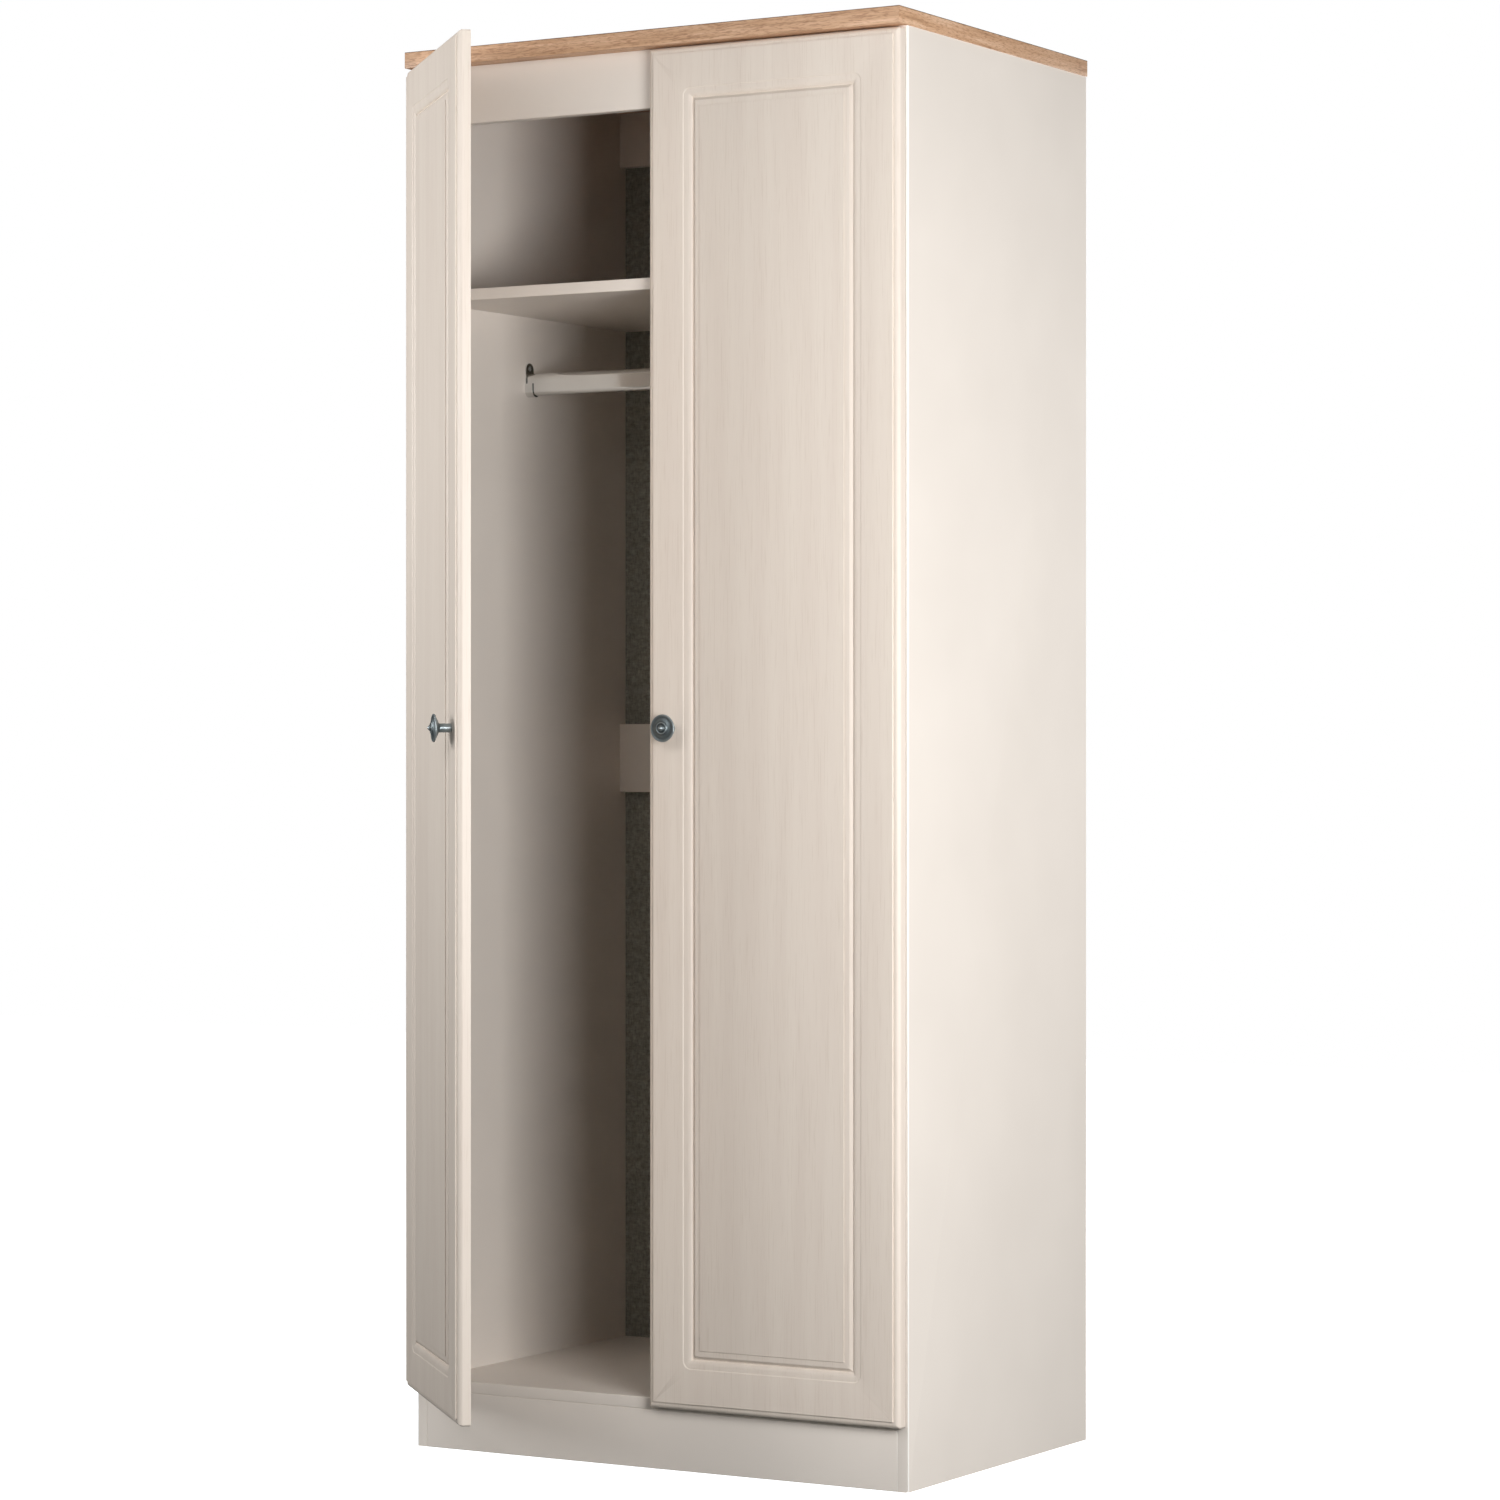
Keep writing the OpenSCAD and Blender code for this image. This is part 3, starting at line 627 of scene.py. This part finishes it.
def knob_outline():
    """(radius, height) from the stem's foot to the boss's tip, in metres."""
    stem, disc, back = STEM_R / MM, DISC_R / MM, STEM_L / MM
    line = [(0, 0), (stem - 0.4, 0), (stem, 0.4), (stem, back - 1.2)]
    line += arc((stem + 1.2, back - 1.2), 1.2, 180, 100, 4)
    line += [(disc - 5.5, back + 2.6), (disc - 2.2, back + 4.2)]
    line += arc((disc - 1.3, back + 5.9), 1.3, -50, 95, 8)
    line += [(disc - 2.4, back + 7.0), (disc - 3.6, back + 6.7), (disc - 5.0, back + 6.9)]
    line += [(disc - 6.6, back + 7.4), (disc - 8.2, back + 8.1), (disc - 9.4, back + 8.7)]
    line += arc((disc - 10.6, back + 8.9), 0.9, 20, 140, 5)
    line += [(disc - 12.3, back + 9.1), (4.4, back + 9.6), (3.9, back + 10.4)]
    line += [(3.5, back + 11.3), (2.7, back + 12.3), (1.5, back + 13.3)]
    line += [(0.6, KNOB_L / MM - 0.1), (0, KNOB_L / MM)]
    return [(r * MM, h * MM) for r, h in line]


# %% Turn the knobs
def turned(outline, middle, steps):
    """An outline spun about an axis that points to the front, along -Y."""
    vertices, faces = [], []
    for radius, height in outline:
        for i in range(steps):
            a = 2 * math.pi * i / steps
            vertices.append((middle.x + radius * math.cos(a), middle.y - height,
                             middle.z + radius * math.sin(a)))
    for r in range(len(outline) - 1):
        for i in range(steps):
            j = (i + 1) % steps
            ring = [r * steps + i, r * steps + j, (r + 1) * steps + j, (r + 1) * steps + i]
            faces.append(ring)
    return vertices, faces


def lathe_mesh(name, outline, middle, steps):
    """A spun outline whose points on the axis close into single poles."""
    vertices, faces = turned(outline, middle, steps)
    mesh = bpy.data.meshes.new(name)
    mesh.from_pydata(vertices, [], faces)
    shape = bmesh.new()
    shape.from_mesh(mesh)
    bmesh.ops.remove_doubles(shape, verts=shape.verts, dist=1e-7)
    bmesh.ops.dissolve_degenerate(shape, edges=shape.edges, dist=1e-8)
    bmesh.ops.recalc_face_normals(shape, faces=shape.faces)
    shape.to_mesh(mesh)
    shape.free()
    return mesh


knob_foot = Vector(((knob_lo.x + knob_hi.x) / 2, knob_hi.y, (knob_lo.z + knob_hi.z) / 2))
right_knob_mesh = lathe_mesh("right knob", knob_outline(), knob_foot, KNOB_STEPS)
soften(right_knob_mesh, 30)
left_knob_mesh = left_copy(right_knob_mesh, "left knob")
right_knob = new_piece("right_knob_turned", right_knob_mesh, PEWTER, "right_door")
left_knob = new_piece("left_knob_turned", left_knob_mesh, PEWTER, "left_door")
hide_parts("right_knob")
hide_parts("left_knob")
print("knob faces", len(right_knob_mesh.polygons))

# %% [markdown]
# ## Eased board edges
# The front edge of each board is covered with a strip of plastic edging, trimmed and
# scraped to a small radius. That radius is what catches a thin bright line along the
# sides and the shelf. The frame's boards are exact boxes with their drillings, so each
# one is copied, its loose triangles are merged and only the arrises of its front edge are
# bevelled, which leaves a fine groove wherever two boards meet. The copy drops the
# shading normals that came with the frame's mesh, since they belong to corners that the
# bevel has changed. The side panels' arrises take the edging's paler finish, a painted
# highlight that whitens their bright line.

# %% Ease the front arrises
EDGE_RADIUS = 1.0 * MM
OUTER_RADIUS = 2.8 * MM
ROUND_STEPS = 5
TOUCHING = 0.01 * MM
WHOLE = 0.9  # an edge counts as a board's whole length or height from this share of it
FLAT_ANGLE = 0.1  # radians
ROUNDED = 0.999  # a face is rounded when its normal's largest part is under this
ALONG = {"left_side_panel": 2, "right_side_panel": 2, "shelf": 0, "floor_panel": 0,
         "front_top_rail": 0, "plinth": 0}


def eased_board(node, axis):
    """A copy of a board whose front edges are rounded, and how many of each kind there are."""
    low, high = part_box(node)
    size = high - low
    shape = bmesh.new()
    shape.from_mesh(nodes[node].data)
    bmesh.ops.remove_doubles(shape, verts=shape.verts, dist=1e-6)
    outer, inner = [], []
    for edge in shape.edges:
        ends = [v.co for v in edge.verts]
        at_front = all(abs(end.y - low.y) < TOUCHING for end in ends)
        flat = edge.calc_face_angle(0) < FLAT_ANGLE
        along = abs(ends[0][axis] - ends[1][axis]) > WHOLE * size[axis]
        at_end = axis == 0 and abs(ends[0].z - ends[1].z) > WHOLE * size.z
        if at_front and not flat and (along or at_end):
            outside = axis == 2 and abs(ends[0].x) > (abs(low.x) + abs(high.x)) / 2
            (outer if outside else inner).append(edge)
    for arrises, radius in ((outer, OUTER_RADIUS), (inner, EDGE_RADIUS)):
        bmesh.ops.bevel(shape, geom=arrises, offset=radius, segments=ROUND_STEPS, profile=0.5,
                        affect="EDGES")
    mesh = bpy.data.meshes.new(f"{node} eased")
    shape.to_mesh(mesh)
    shape.free()
    if "custom_normal" in mesh.attributes:
        mesh.attributes.remove(mesh.attributes["custom_normal"])
    soften(mesh, 25)
    return mesh, (len(outer), len(inner))


for node, axis in ALONG.items():
    mesh, found = eased_board(node, axis)
    board_piece = new_piece(f"{node}_eased", mesh, MELAMINE, "carcass")
    # The side panels' rounded arrises get the paler edging finish, a painted highlight.
    mesh.materials.append(EDGE_HIGHLIGHT_FINISH)
    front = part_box(node)[0].y
    for face in mesh.polygons:
        rounded = max(abs(c) for c in face.normal) < ROUNDED
        if axis == 2 and rounded and face.center.y < front + OUTER_RADIUS:
            face.material_index = 1
    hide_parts(node)
    print(node, "arrises eased", found)

# %% [markdown]
# ## Screws and tacks
# The same few fasteners repeat all over the wardrobe: countersunk cross-head screws in
# the hinge plates, cups and rail sockets, cross-head machine screws on the hinge arms,
# and flat-headed tacks in the back. One Geometry Nodes tree makes them all. It builds a
# head from a cone, joins a tapered shank to it, cuts a cross into the top, and puts a
# copy on every point, turned to the point's own direction and then spun by a seeded
# random angle, as hand-driven screws are.

# %% What every tree shares
def start_tree(name, sizes):
    """A tree that takes points, these sizes and a finish, and gives one shape."""
    tree = bpy.data.node_groups.new(name, "GeometryNodeTree")
    face = tree.interface
    face.new_socket("Geometry", in_out="INPUT", socket_type="NodeSocketGeometry")
    for size in sizes:
        face.new_socket(size, in_out="INPUT", socket_type="NodeSocketFloat")
    face.new_socket("Finish", in_out="INPUT", socket_type="NodeSocketMaterial")
    face.new_socket("Geometry", in_out="OUTPUT", socket_type="NodeSocketGeometry")
    return tree, add(tree, "NodeGroupInput").outputs


def faced(tree):
    """The turn that points a shape's Z along each point's own direction."""
    facing = add(tree, "GeometryNodeInputNamedAttribute", {"data_type": "FLOAT_VECTOR"},
                 {"Name": "facing"})
    return add(tree, "FunctionNodeAlignRotationToVector", {"axis": "Z"}, {"Vector": facing})


def put_on_points(tree, given, shape, turn):
    """A copy of the shape on each point, made real and given its finish."""
    placed = add(tree, "GeometryNodeInstanceOnPoints", None, {
        "Points": given["Geometry"], "Instance": shape, "Rotation": turn})
    real = add(tree, "GeometryNodeRealizeInstances", None, {"Geometry": placed})
    done = add(tree, "GeometryNodeSetMaterial", None, {
        "Geometry": real, "Material": given["Finish"]})
    add(tree, "NodeGroupOutput", None, {"Geometry": done})


# %% The fastener tree
SPIN_SEED = 7
SIZES = ["Head Foot Radius", "Head Top Radius", "Head Height", "Head Foot", "Shank Radius",
         "Tip Radius", "Length", "Cross Reach", "Cross Width", "Cross Depth"]


def raised(tree, mesh, height):
    """A mesh lifted along Z."""
    shift = add(tree, "ShaderNodeCombineXYZ", None, {"Z": height})
    return add(tree, "GeometryNodeTransform", None, {"Geometry": mesh, "Translation": shift})


def fastener_shape(tree, given):
    """A head joined to a tapered shank, with its top at the head's foot plus its height."""
    head = add(tree, "GeometryNodeMeshCone", None, {
        "Vertices": 32, "Radius Top": given["Head Top Radius"],
        "Radius Bottom": given["Head Foot Radius"], "Depth": given["Head Height"]})
    half_head = add(tree, "ShaderNodeMath", {"operation": "MULTIPLY"}, {
        0: given["Head Height"], 1: 0.5})
    head_middle = add(tree, "ShaderNodeMath", {"operation": "ADD"}, {
        0: given["Head Foot"], 1: half_head})
    reach = add(tree, "ShaderNodeMath", {"operation": "ADD"}, {
        0: given["Length"], 1: head_middle})
    shank = add(tree, "GeometryNodeMeshCone", None, {
        "Vertices": 20, "Radius Top": given["Shank Radius"],
        "Radius Bottom": given["Tip Radius"], "Depth": reach})
    tip = add(tree, "ShaderNodeMath", {"operation": "MULTIPLY"}, {0: given["Length"], 1: -1})
    whole = add(tree, "GeometryNodeMeshBoolean", {"operation": "UNION", "solver": "EXACT"})
    for part in (raised(tree, head, given["Head Foot"]), raised(tree, shank, tip)):
        wire(tree, whole, {"Mesh 2": part})
    return whole


def cross_shape(tree, given):
    """Two crossed blocks, twice as deep as the cross because half of each is above the head."""
    deep = add(tree, "ShaderNodeMath", {"operation": "MULTIPLY"}, {
        0: given["Cross Depth"], 1: 2})
    blocks = add(tree, "GeometryNodeMeshBoolean", {"operation": "UNION", "solver": "EXACT"})
    for x, y in (("Cross Reach", "Cross Width"), ("Cross Width", "Cross Reach")):
        size = add(tree, "ShaderNodeCombineXYZ", None, {
            "X": given[x], "Y": given[y], "Z": deep})
        wire(tree, blocks, {"Mesh 2": add(tree, "GeometryNodeMeshCube", None, {"Size": size})})
    top = add(tree, "ShaderNodeMath", {"operation": "ADD"}, {
        0: given["Head Foot"], 1: given["Head Height"]})
    return raised(tree, blocks, top)


def fastener_tree():
    """Points with a facing direction go in, and screws or tacks come out."""
    tree, given = start_tree("driven fasteners", SIZES)
    cut = add(tree, "GeometryNodeMeshBoolean", {"operation": "DIFFERENCE", "solver": "EXACT"}, {
        "Mesh 1": fastener_shape(tree, given), "Mesh 2": cross_shape(tree, given)})
    spin = add(tree, "FunctionNodeRandomValue", {"data_type": "FLOAT"}, {
        2: 0.0, 3: math.pi / 2, "Seed": SPIN_SEED})
    turn = add(tree, "FunctionNodeAxisAngleToRotation", None, {
        "Axis": (0, 0, 1), "Angle": spin.outputs[1]})
    rotation = add(tree, "FunctionNodeRotateRotation", {"rotation_space": "LOCAL"}, {
        0: faced(tree), 1: turn})
    put_on_points(tree, given, cut, rotation)
    return tree


FASTENERS = fastener_tree()
print("tree inputs", len(FASTENERS.interface.items_tree))


# %% Points for the fasteners
def head_points(node, facing_of):
    """The middle of each fastener's head, and the way it faces, from a CAD node."""
    found = []
    for low, high in solids_of(node):
        middle = (low + high) / 2
        facing = facing_of(middle)
        half = (high - low) / 2
        tip = Vector(half[i] * facing[i] for i in range(3))
        found.append((middle + tip, facing))
    return found


def into_room(middle):
    """Side-panel fasteners face the middle of the wardrobe."""
    return Vector((-math.copysign(1, middle.x), 0, 0))


def to_back(_):
    """Fasteners in the back and in the cups face straight behind."""
    return Vector((0, 1, 0))


def grown(name, tree, points, sizes, finish):
    """The tree's result on these points, as a plain mesh."""
    mesh = bpy.data.meshes.new(name)
    mesh.from_pydata([p[:] for p, _ in points], [], [])
    facing = mesh.attributes.new("facing", "FLOAT_VECTOR", "POINT")
    facing.data.foreach_set("vector", [c for _, f in points for c in f])
    seeds = bpy.data.objects.new(name, mesh)
    scene.collection.objects.link(seeds)
    maker = seeds.modifiers.new(name, "NODES")
    maker.node_group = tree
    for item in tree.interface.items_tree:
        if item.in_out == "INPUT" and item.name in sizes:
            maker[item.identifier] = sizes[item.name]
        if item.in_out == "INPUT" and item.name == "Finish":
            maker[item.identifier] = finish
    made = baked(seeds, name)
    bpy.data.objects.remove(seeds)
    if "facing" in made.attributes:
        made.attributes.remove(made.attributes["facing"])
    soften(made, 25)
    return made


# %% Sizes of the fasteners
WOOD_SCREW = {
    "Head Foot Radius": 1.75 * MM, "Head Top Radius": 3.5 * MM, "Head Height": 1.75 * MM,
    "Head Foot": -1.75 * MM, "Shank Radius": 1.75 * MM, "Tip Radius": 0.3 * MM,
    "Length": 13 * MM, "Cross Reach": 4.4 * MM, "Cross Width": 0.95 * MM,
    "Cross Depth": 1.5 * MM}
MACHINE_SCREW = {
    "Head Foot Radius": 3.4 * MM, "Head Top Radius": 2.8 * MM, "Head Height": 1.6 * MM,
    "Head Foot": -1.6 * MM, "Shank Radius": 2.0 * MM, "Tip Radius": 1.9 * MM,
    "Length": 8.6 * MM, "Cross Reach": 3.8 * MM, "Cross Width": 0.9 * MM,
    "Cross Depth": 1.1 * MM}
TACK = {
    "Head Foot Radius": 1.4 * MM, "Head Top Radius": 1.15 * MM, "Head Height": 0.4 * MM,
    "Head Foot": -0.4 * MM, "Shank Radius": 0.6 * MM, "Tip Radius": 0.1 * MM,
    "Length": 16.4 * MM, "Cross Reach": 1.1 * MM, "Cross Width": 0.12 * MM,
    "Cross Depth": 0.05 * MM}

# %% Grow the fasteners
for node, facing_of, sizes in (("plate_screws", into_room, WOOD_SCREW),
                               ("socket_screws", into_room, WOOD_SCREW),
                               ("arm_screws", into_room, MACHINE_SCREW),
                               ("back_tacks", to_back, TACK)):
    points = head_points(node, facing_of)
    piece = new_piece(f"{node}_driven", grown(node, FASTENERS, points, sizes, ZINC), ZINC,
                      "carcass")
    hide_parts(node)
    print(node, len(points), "faces", len(piece.data.polygons))

cup_screws = grown("right cup screws", FASTENERS, head_points("right_cup_screws", to_back),
                   WOOD_SCREW, ZINC)
for side, mesh in (("left", left_copy(cup_screws, "left cup screws")), ("right", cup_screws)):
    piece = new_piece(f"{side}_cup_screws_driven", mesh, ZINC, f"{side}_door")
    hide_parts(f"{side}_cup_screws")

# %% [markdown]
# ## Fluted dowels
# Furniture dowels are turned beech with pressed flutes, so that glue can spread along
# them. A star-shaped outline swept along a short line gives the flutes, and a second
# tree puts one on each point. There are dowels along X in the board ends and upright
# ones under the top.

# %% The dowel tree
FLUTES = 18


def dowel_tree():
    """Points at dowel ends go in, and fluted dowels that run back from them come out."""
    tree, given = start_tree("fluted dowels", ["Radius", "Flute Depth", "Length"])
    hollow = add(tree, "ShaderNodeMath", {"operation": "SUBTRACT"}, {
        0: given["Radius"], 1: given["Flute Depth"]})
    star = add(tree, "GeometryNodeCurveStar", None, {
        "Points": FLUTES, "Inner Radius": hollow, "Outer Radius": given["Radius"]})
    foot = add(tree, "ShaderNodeMath", {"operation": "MULTIPLY"}, {0: given["Length"], 1: -1.0})
    end = add(tree, "ShaderNodeCombineXYZ", None, {"Z": foot})
    line = add(tree, "GeometryNodeCurvePrimitiveLine", None, {"Start": (0, 0, 0), "End": end})
    swept = add(tree, "GeometryNodeCurveToMesh", None, {
        "Curve": line, "Profile Curve": star, "Fill Caps": True})
    put_on_points(tree, given, swept, faced(tree))
    return tree


# %% Grow the dowels
DOWEL = {"Radius": 4 * MM, "Flute Depth": 0.3 * MM, "Length": 30 * MM}


def along_dowel(low, high):
    """The unit vector along a dowel's longest side."""
    size = high - low
    axis = max(range(3), key=lambda i: size[i])
    return Vector([1.0 if i == axis else 0.0 for i in range(3)])


dowel_points = []
for low, high in solids_of("dowels"):
    way = along_dowel(low, high)
    half = Vector(way[i] * (high[i] - low[i]) / 2 for i in range(3))
    dowel_points.append(((low + high) / 2 + half, way))
dowel_mesh = grown("dowels", dowel_tree(), dowel_points, DOWEL, BEECH)
fresh = bmesh.new()
fresh.from_mesh(dowel_mesh)
bmesh.ops.remove_doubles(fresh, verts=fresh.verts, dist=1e-7)
bmesh.ops.recalc_face_normals(fresh, faces=fresh.faces)
fresh.to_mesh(dowel_mesh)
fresh.free()
dowel_piece = new_piece("dowels_fluted", dowel_mesh, BEECH, "carcass")
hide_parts("dowels")
print("dowels", len(dowel_points), "faces", len(dowel_mesh.polygons))

# %% [markdown]
# ## The top
# A laminated board has a thin sheet on its upper face, and its sides are covered by
# glued strips of edging under a millimetre thick. The front strip runs between the end
# strips, so a fine seam shows at each front corner. The sheet is glued on last and
# trimmed flush, so the brown core of its paper shows as a thin dark line all round,
# above the edging. All arrises are eased a little.

# %% The top's board and edging
top_lo, top_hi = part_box("worktop")
EDGING = 0.8 * MM
SHEET = 0.8 * MM


def eased_box(name, low, high, ease):
    """A box with rounded arrises."""
    shape = bmesh.new()
    size = high - low
    bmesh.ops.create_cube(shape, size=1.0, matrix=Matrix.Translation((low + high) / 2)
                          @ Matrix.Diagonal((*size, 1)))
    bmesh.ops.bevel(shape, geom=shape.edges, offset=ease, segments=3, profile=0.5,
                    affect="EDGES")
    mesh = bpy.data.meshes.new(name)
    shape.to_mesh(mesh)
    shape.free()
    soften(mesh, 30)
    return mesh


under_sheet = top_hi.z - SHEET
board = eased_box("top board", Vector((top_lo.x + EDGING, top_lo.y + EDGING, top_lo.z)),
                  Vector((top_hi.x - EDGING, top_hi.y, under_sheet)), 0.12 * MM)
front = eased_box("top front edging", Vector((top_lo.x + EDGING, top_lo.y, top_lo.z + 0.1 * MM)),
                  Vector((top_hi.x - EDGING, top_lo.y + EDGING, under_sheet)), 0.3 * MM)
sheet = eased_box("top sheet", Vector((top_lo.x, top_lo.y, under_sheet)), top_hi, 0.2 * MM)
sheet.materials.append(OAK_LONG)
sheet.materials.append(SHEET_CORE)
for face in sheet.polygons:
    face.material_index = 0 if abs(face.normal.z) > 0.9 else 1
sheet_piece = bpy.data.objects.new("worktop_sheet", sheet)
scene.collection.objects.link(sheet_piece)
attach(sheet_piece, "carcass")
top_pieces = [new_piece("worktop_board", board, OAK_LONG, "carcass"),
              new_piece("worktop_front_edging", front, OAK_LONG, "carcass"), sheet_piece]
for name, x in (("left", top_lo.x), ("right", top_hi.x - EDGING)):
    end = eased_box(f"top {name} edging", Vector((x, top_lo.y, top_lo.z + 0.1 * MM)),
                    Vector((x + EDGING, top_hi.y, under_sheet)), 0.3 * MM)
    top_pieces.append(new_piece(f"worktop_{name}_edging", end, OAK_END, "carcass"))
for piece in top_pieces:
    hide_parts("worktop")
print("top pieces", len(top_pieces))

# %% [markdown]
# ## Light, floor and camera
# Soft boxes stand all round the wardrobe. The strongest in front is at the right corner,
# level with the middle of the side, so the side falls off towards the top and the foot.
# The boxes at the left are low, so that the open door shades the board behind it. The
# floor is white by its own light and throws none on the wardrobe.

# %% Floor and world
def pale_floor():
    finish, tree, shader, places = start_finish("pale studio floor", 0.8)
    tint = pattern(tree, places, 400)
    shade = add(tree, "ShaderNodeValToRGB", {"stops": [(0.3, "#f4f4f3"), (0.7, "#f8f8f8")]},
                {"Fac": tint})
    shader.inputs["Emission Color"].default_value = (1, 1, 1, 1)
    shader.inputs["Emission Strength"].default_value = 1.0
    wire(tree, shader, {"Base Color": shade})
    return finish


FLOOR_SIDE = 14
bpy.ops.mesh.primitive_plane_add(size=FLOOR_SIDE, location=(0, 0, 0))
floor = bpy.context.object
floor.name = "studio_floor"
floor.data.materials.append(pale_floor())
floor.visible_diffuse = False
floor.visible_glossy = False

world = bpy.data.worlds.new("studio")
scene.world = world
world.use_nodes = True
sky = world.node_tree
ground = sky.nodes["Background"]
ground.inputs["Color"].default_value = linear("#eef6f4")
ground.inputs["Strength"].default_value = 0.08
bright = add(sky, "ShaderNodeBackground", None, {"Color": (1, 1, 1, 1), "Strength": 1.0})
seen = add(sky, "ShaderNodeLightPath").outputs["Is Camera Ray"]
blend = add(sky, "ShaderNodeMixShader", None, {
    0: seen, 1: ground.outputs[0], 2: bright.outputs[0]})
sky.links.new(blend.outputs[0], sky.nodes["World Output"].inputs["Surface"])


# %% Soft boxes
def soft_box(name, place, target, width, height, watts, tint="#ffffff"):
    lamp = bpy.data.lights.new(name, "AREA")
    lamp.shape = "RECTANGLE"
    lamp.size = width
    lamp.size_y = height
    lamp.energy = watts
    lamp.color = linear(tint)[:3]
    made = bpy.data.objects.new(name, lamp)
    scene.collection.objects.link(made)
    made.location = place
    made.rotation_euler = (Vector(target) - Vector(place)).to_track_quat("-Z", "Y").to_euler()
    return made


MIDDLE = Vector((0, 0.2, 0))


def round_the_middle(bearing, distance, height):
    """A place at this bearing, in degrees from straight in front towards the right."""
    a = math.radians(bearing)
    return MIDDLE + Vector((distance * math.sin(a), -distance * math.cos(a), height))


# Name, bearing, distance, height, target height, width, height of the box, watts
BOXES = [
    ("corner soft box", 48, 2.8, 1.0, 1.0, 1.0, 1.0, 57),
    ("side soft box", 90, 2.8, 1.0, 1.0, 1.0, 1.0, 32),
    ("left soft box", -50, 3.2, 1.25, 1.0, 1.2, 1.0, 30),
    ("upper front strip", 0, 2.0, 1.9, 1.7, 1.2, 0.8, 10),
    ("upper left strip", -60, 2.0, 1.55, 1.6, 0.8, 0.4, 13),
    ("back soft box", 180, 3.2, 1.4, 1.0, 1.6, 1.2, 60)]
for name, bearing, distance, height, aim, wide, tall, watts in BOXES:
    soft_box(name, round_the_middle(bearing, distance, height), MIDDLE + Vector((0, 0, aim)),
             wide, tall, watts)
soft_box("overhead soft box", (0, 0.6, 4.2), (0, 0.6, 0), 1.6, 1.2, 40)

# %% [markdown]
# ## Camera
# A long lens stands to the right at half the wardrobe's height and looks level, so the
# uprights stay parallel. The standard view transform keeps the paint-card colours.

# %% Camera
CAMERA_PLACE = (2.9976, -4.8259, 0.9167)
CAMERA_BEARING = 30.624
CAMERA_LENS = 107.28
CAMERA_SHIFT = -0.0019
camera_data = bpy.data.cameras.new("camera")
camera_data.lens = CAMERA_LENS
camera_data.shift_y = CAMERA_SHIFT
camera = bpy.data.objects.new("camera", camera_data)
scene.collection.objects.link(camera)
camera.location = CAMERA_PLACE
camera.rotation_euler = (math.radians(90), 0, math.radians(CAMERA_BEARING))
scene.camera = camera
scene.view_settings.view_transform = "Standard"
print("camera at", CAMERA_PLACE, "lens", CAMERA_LENS)
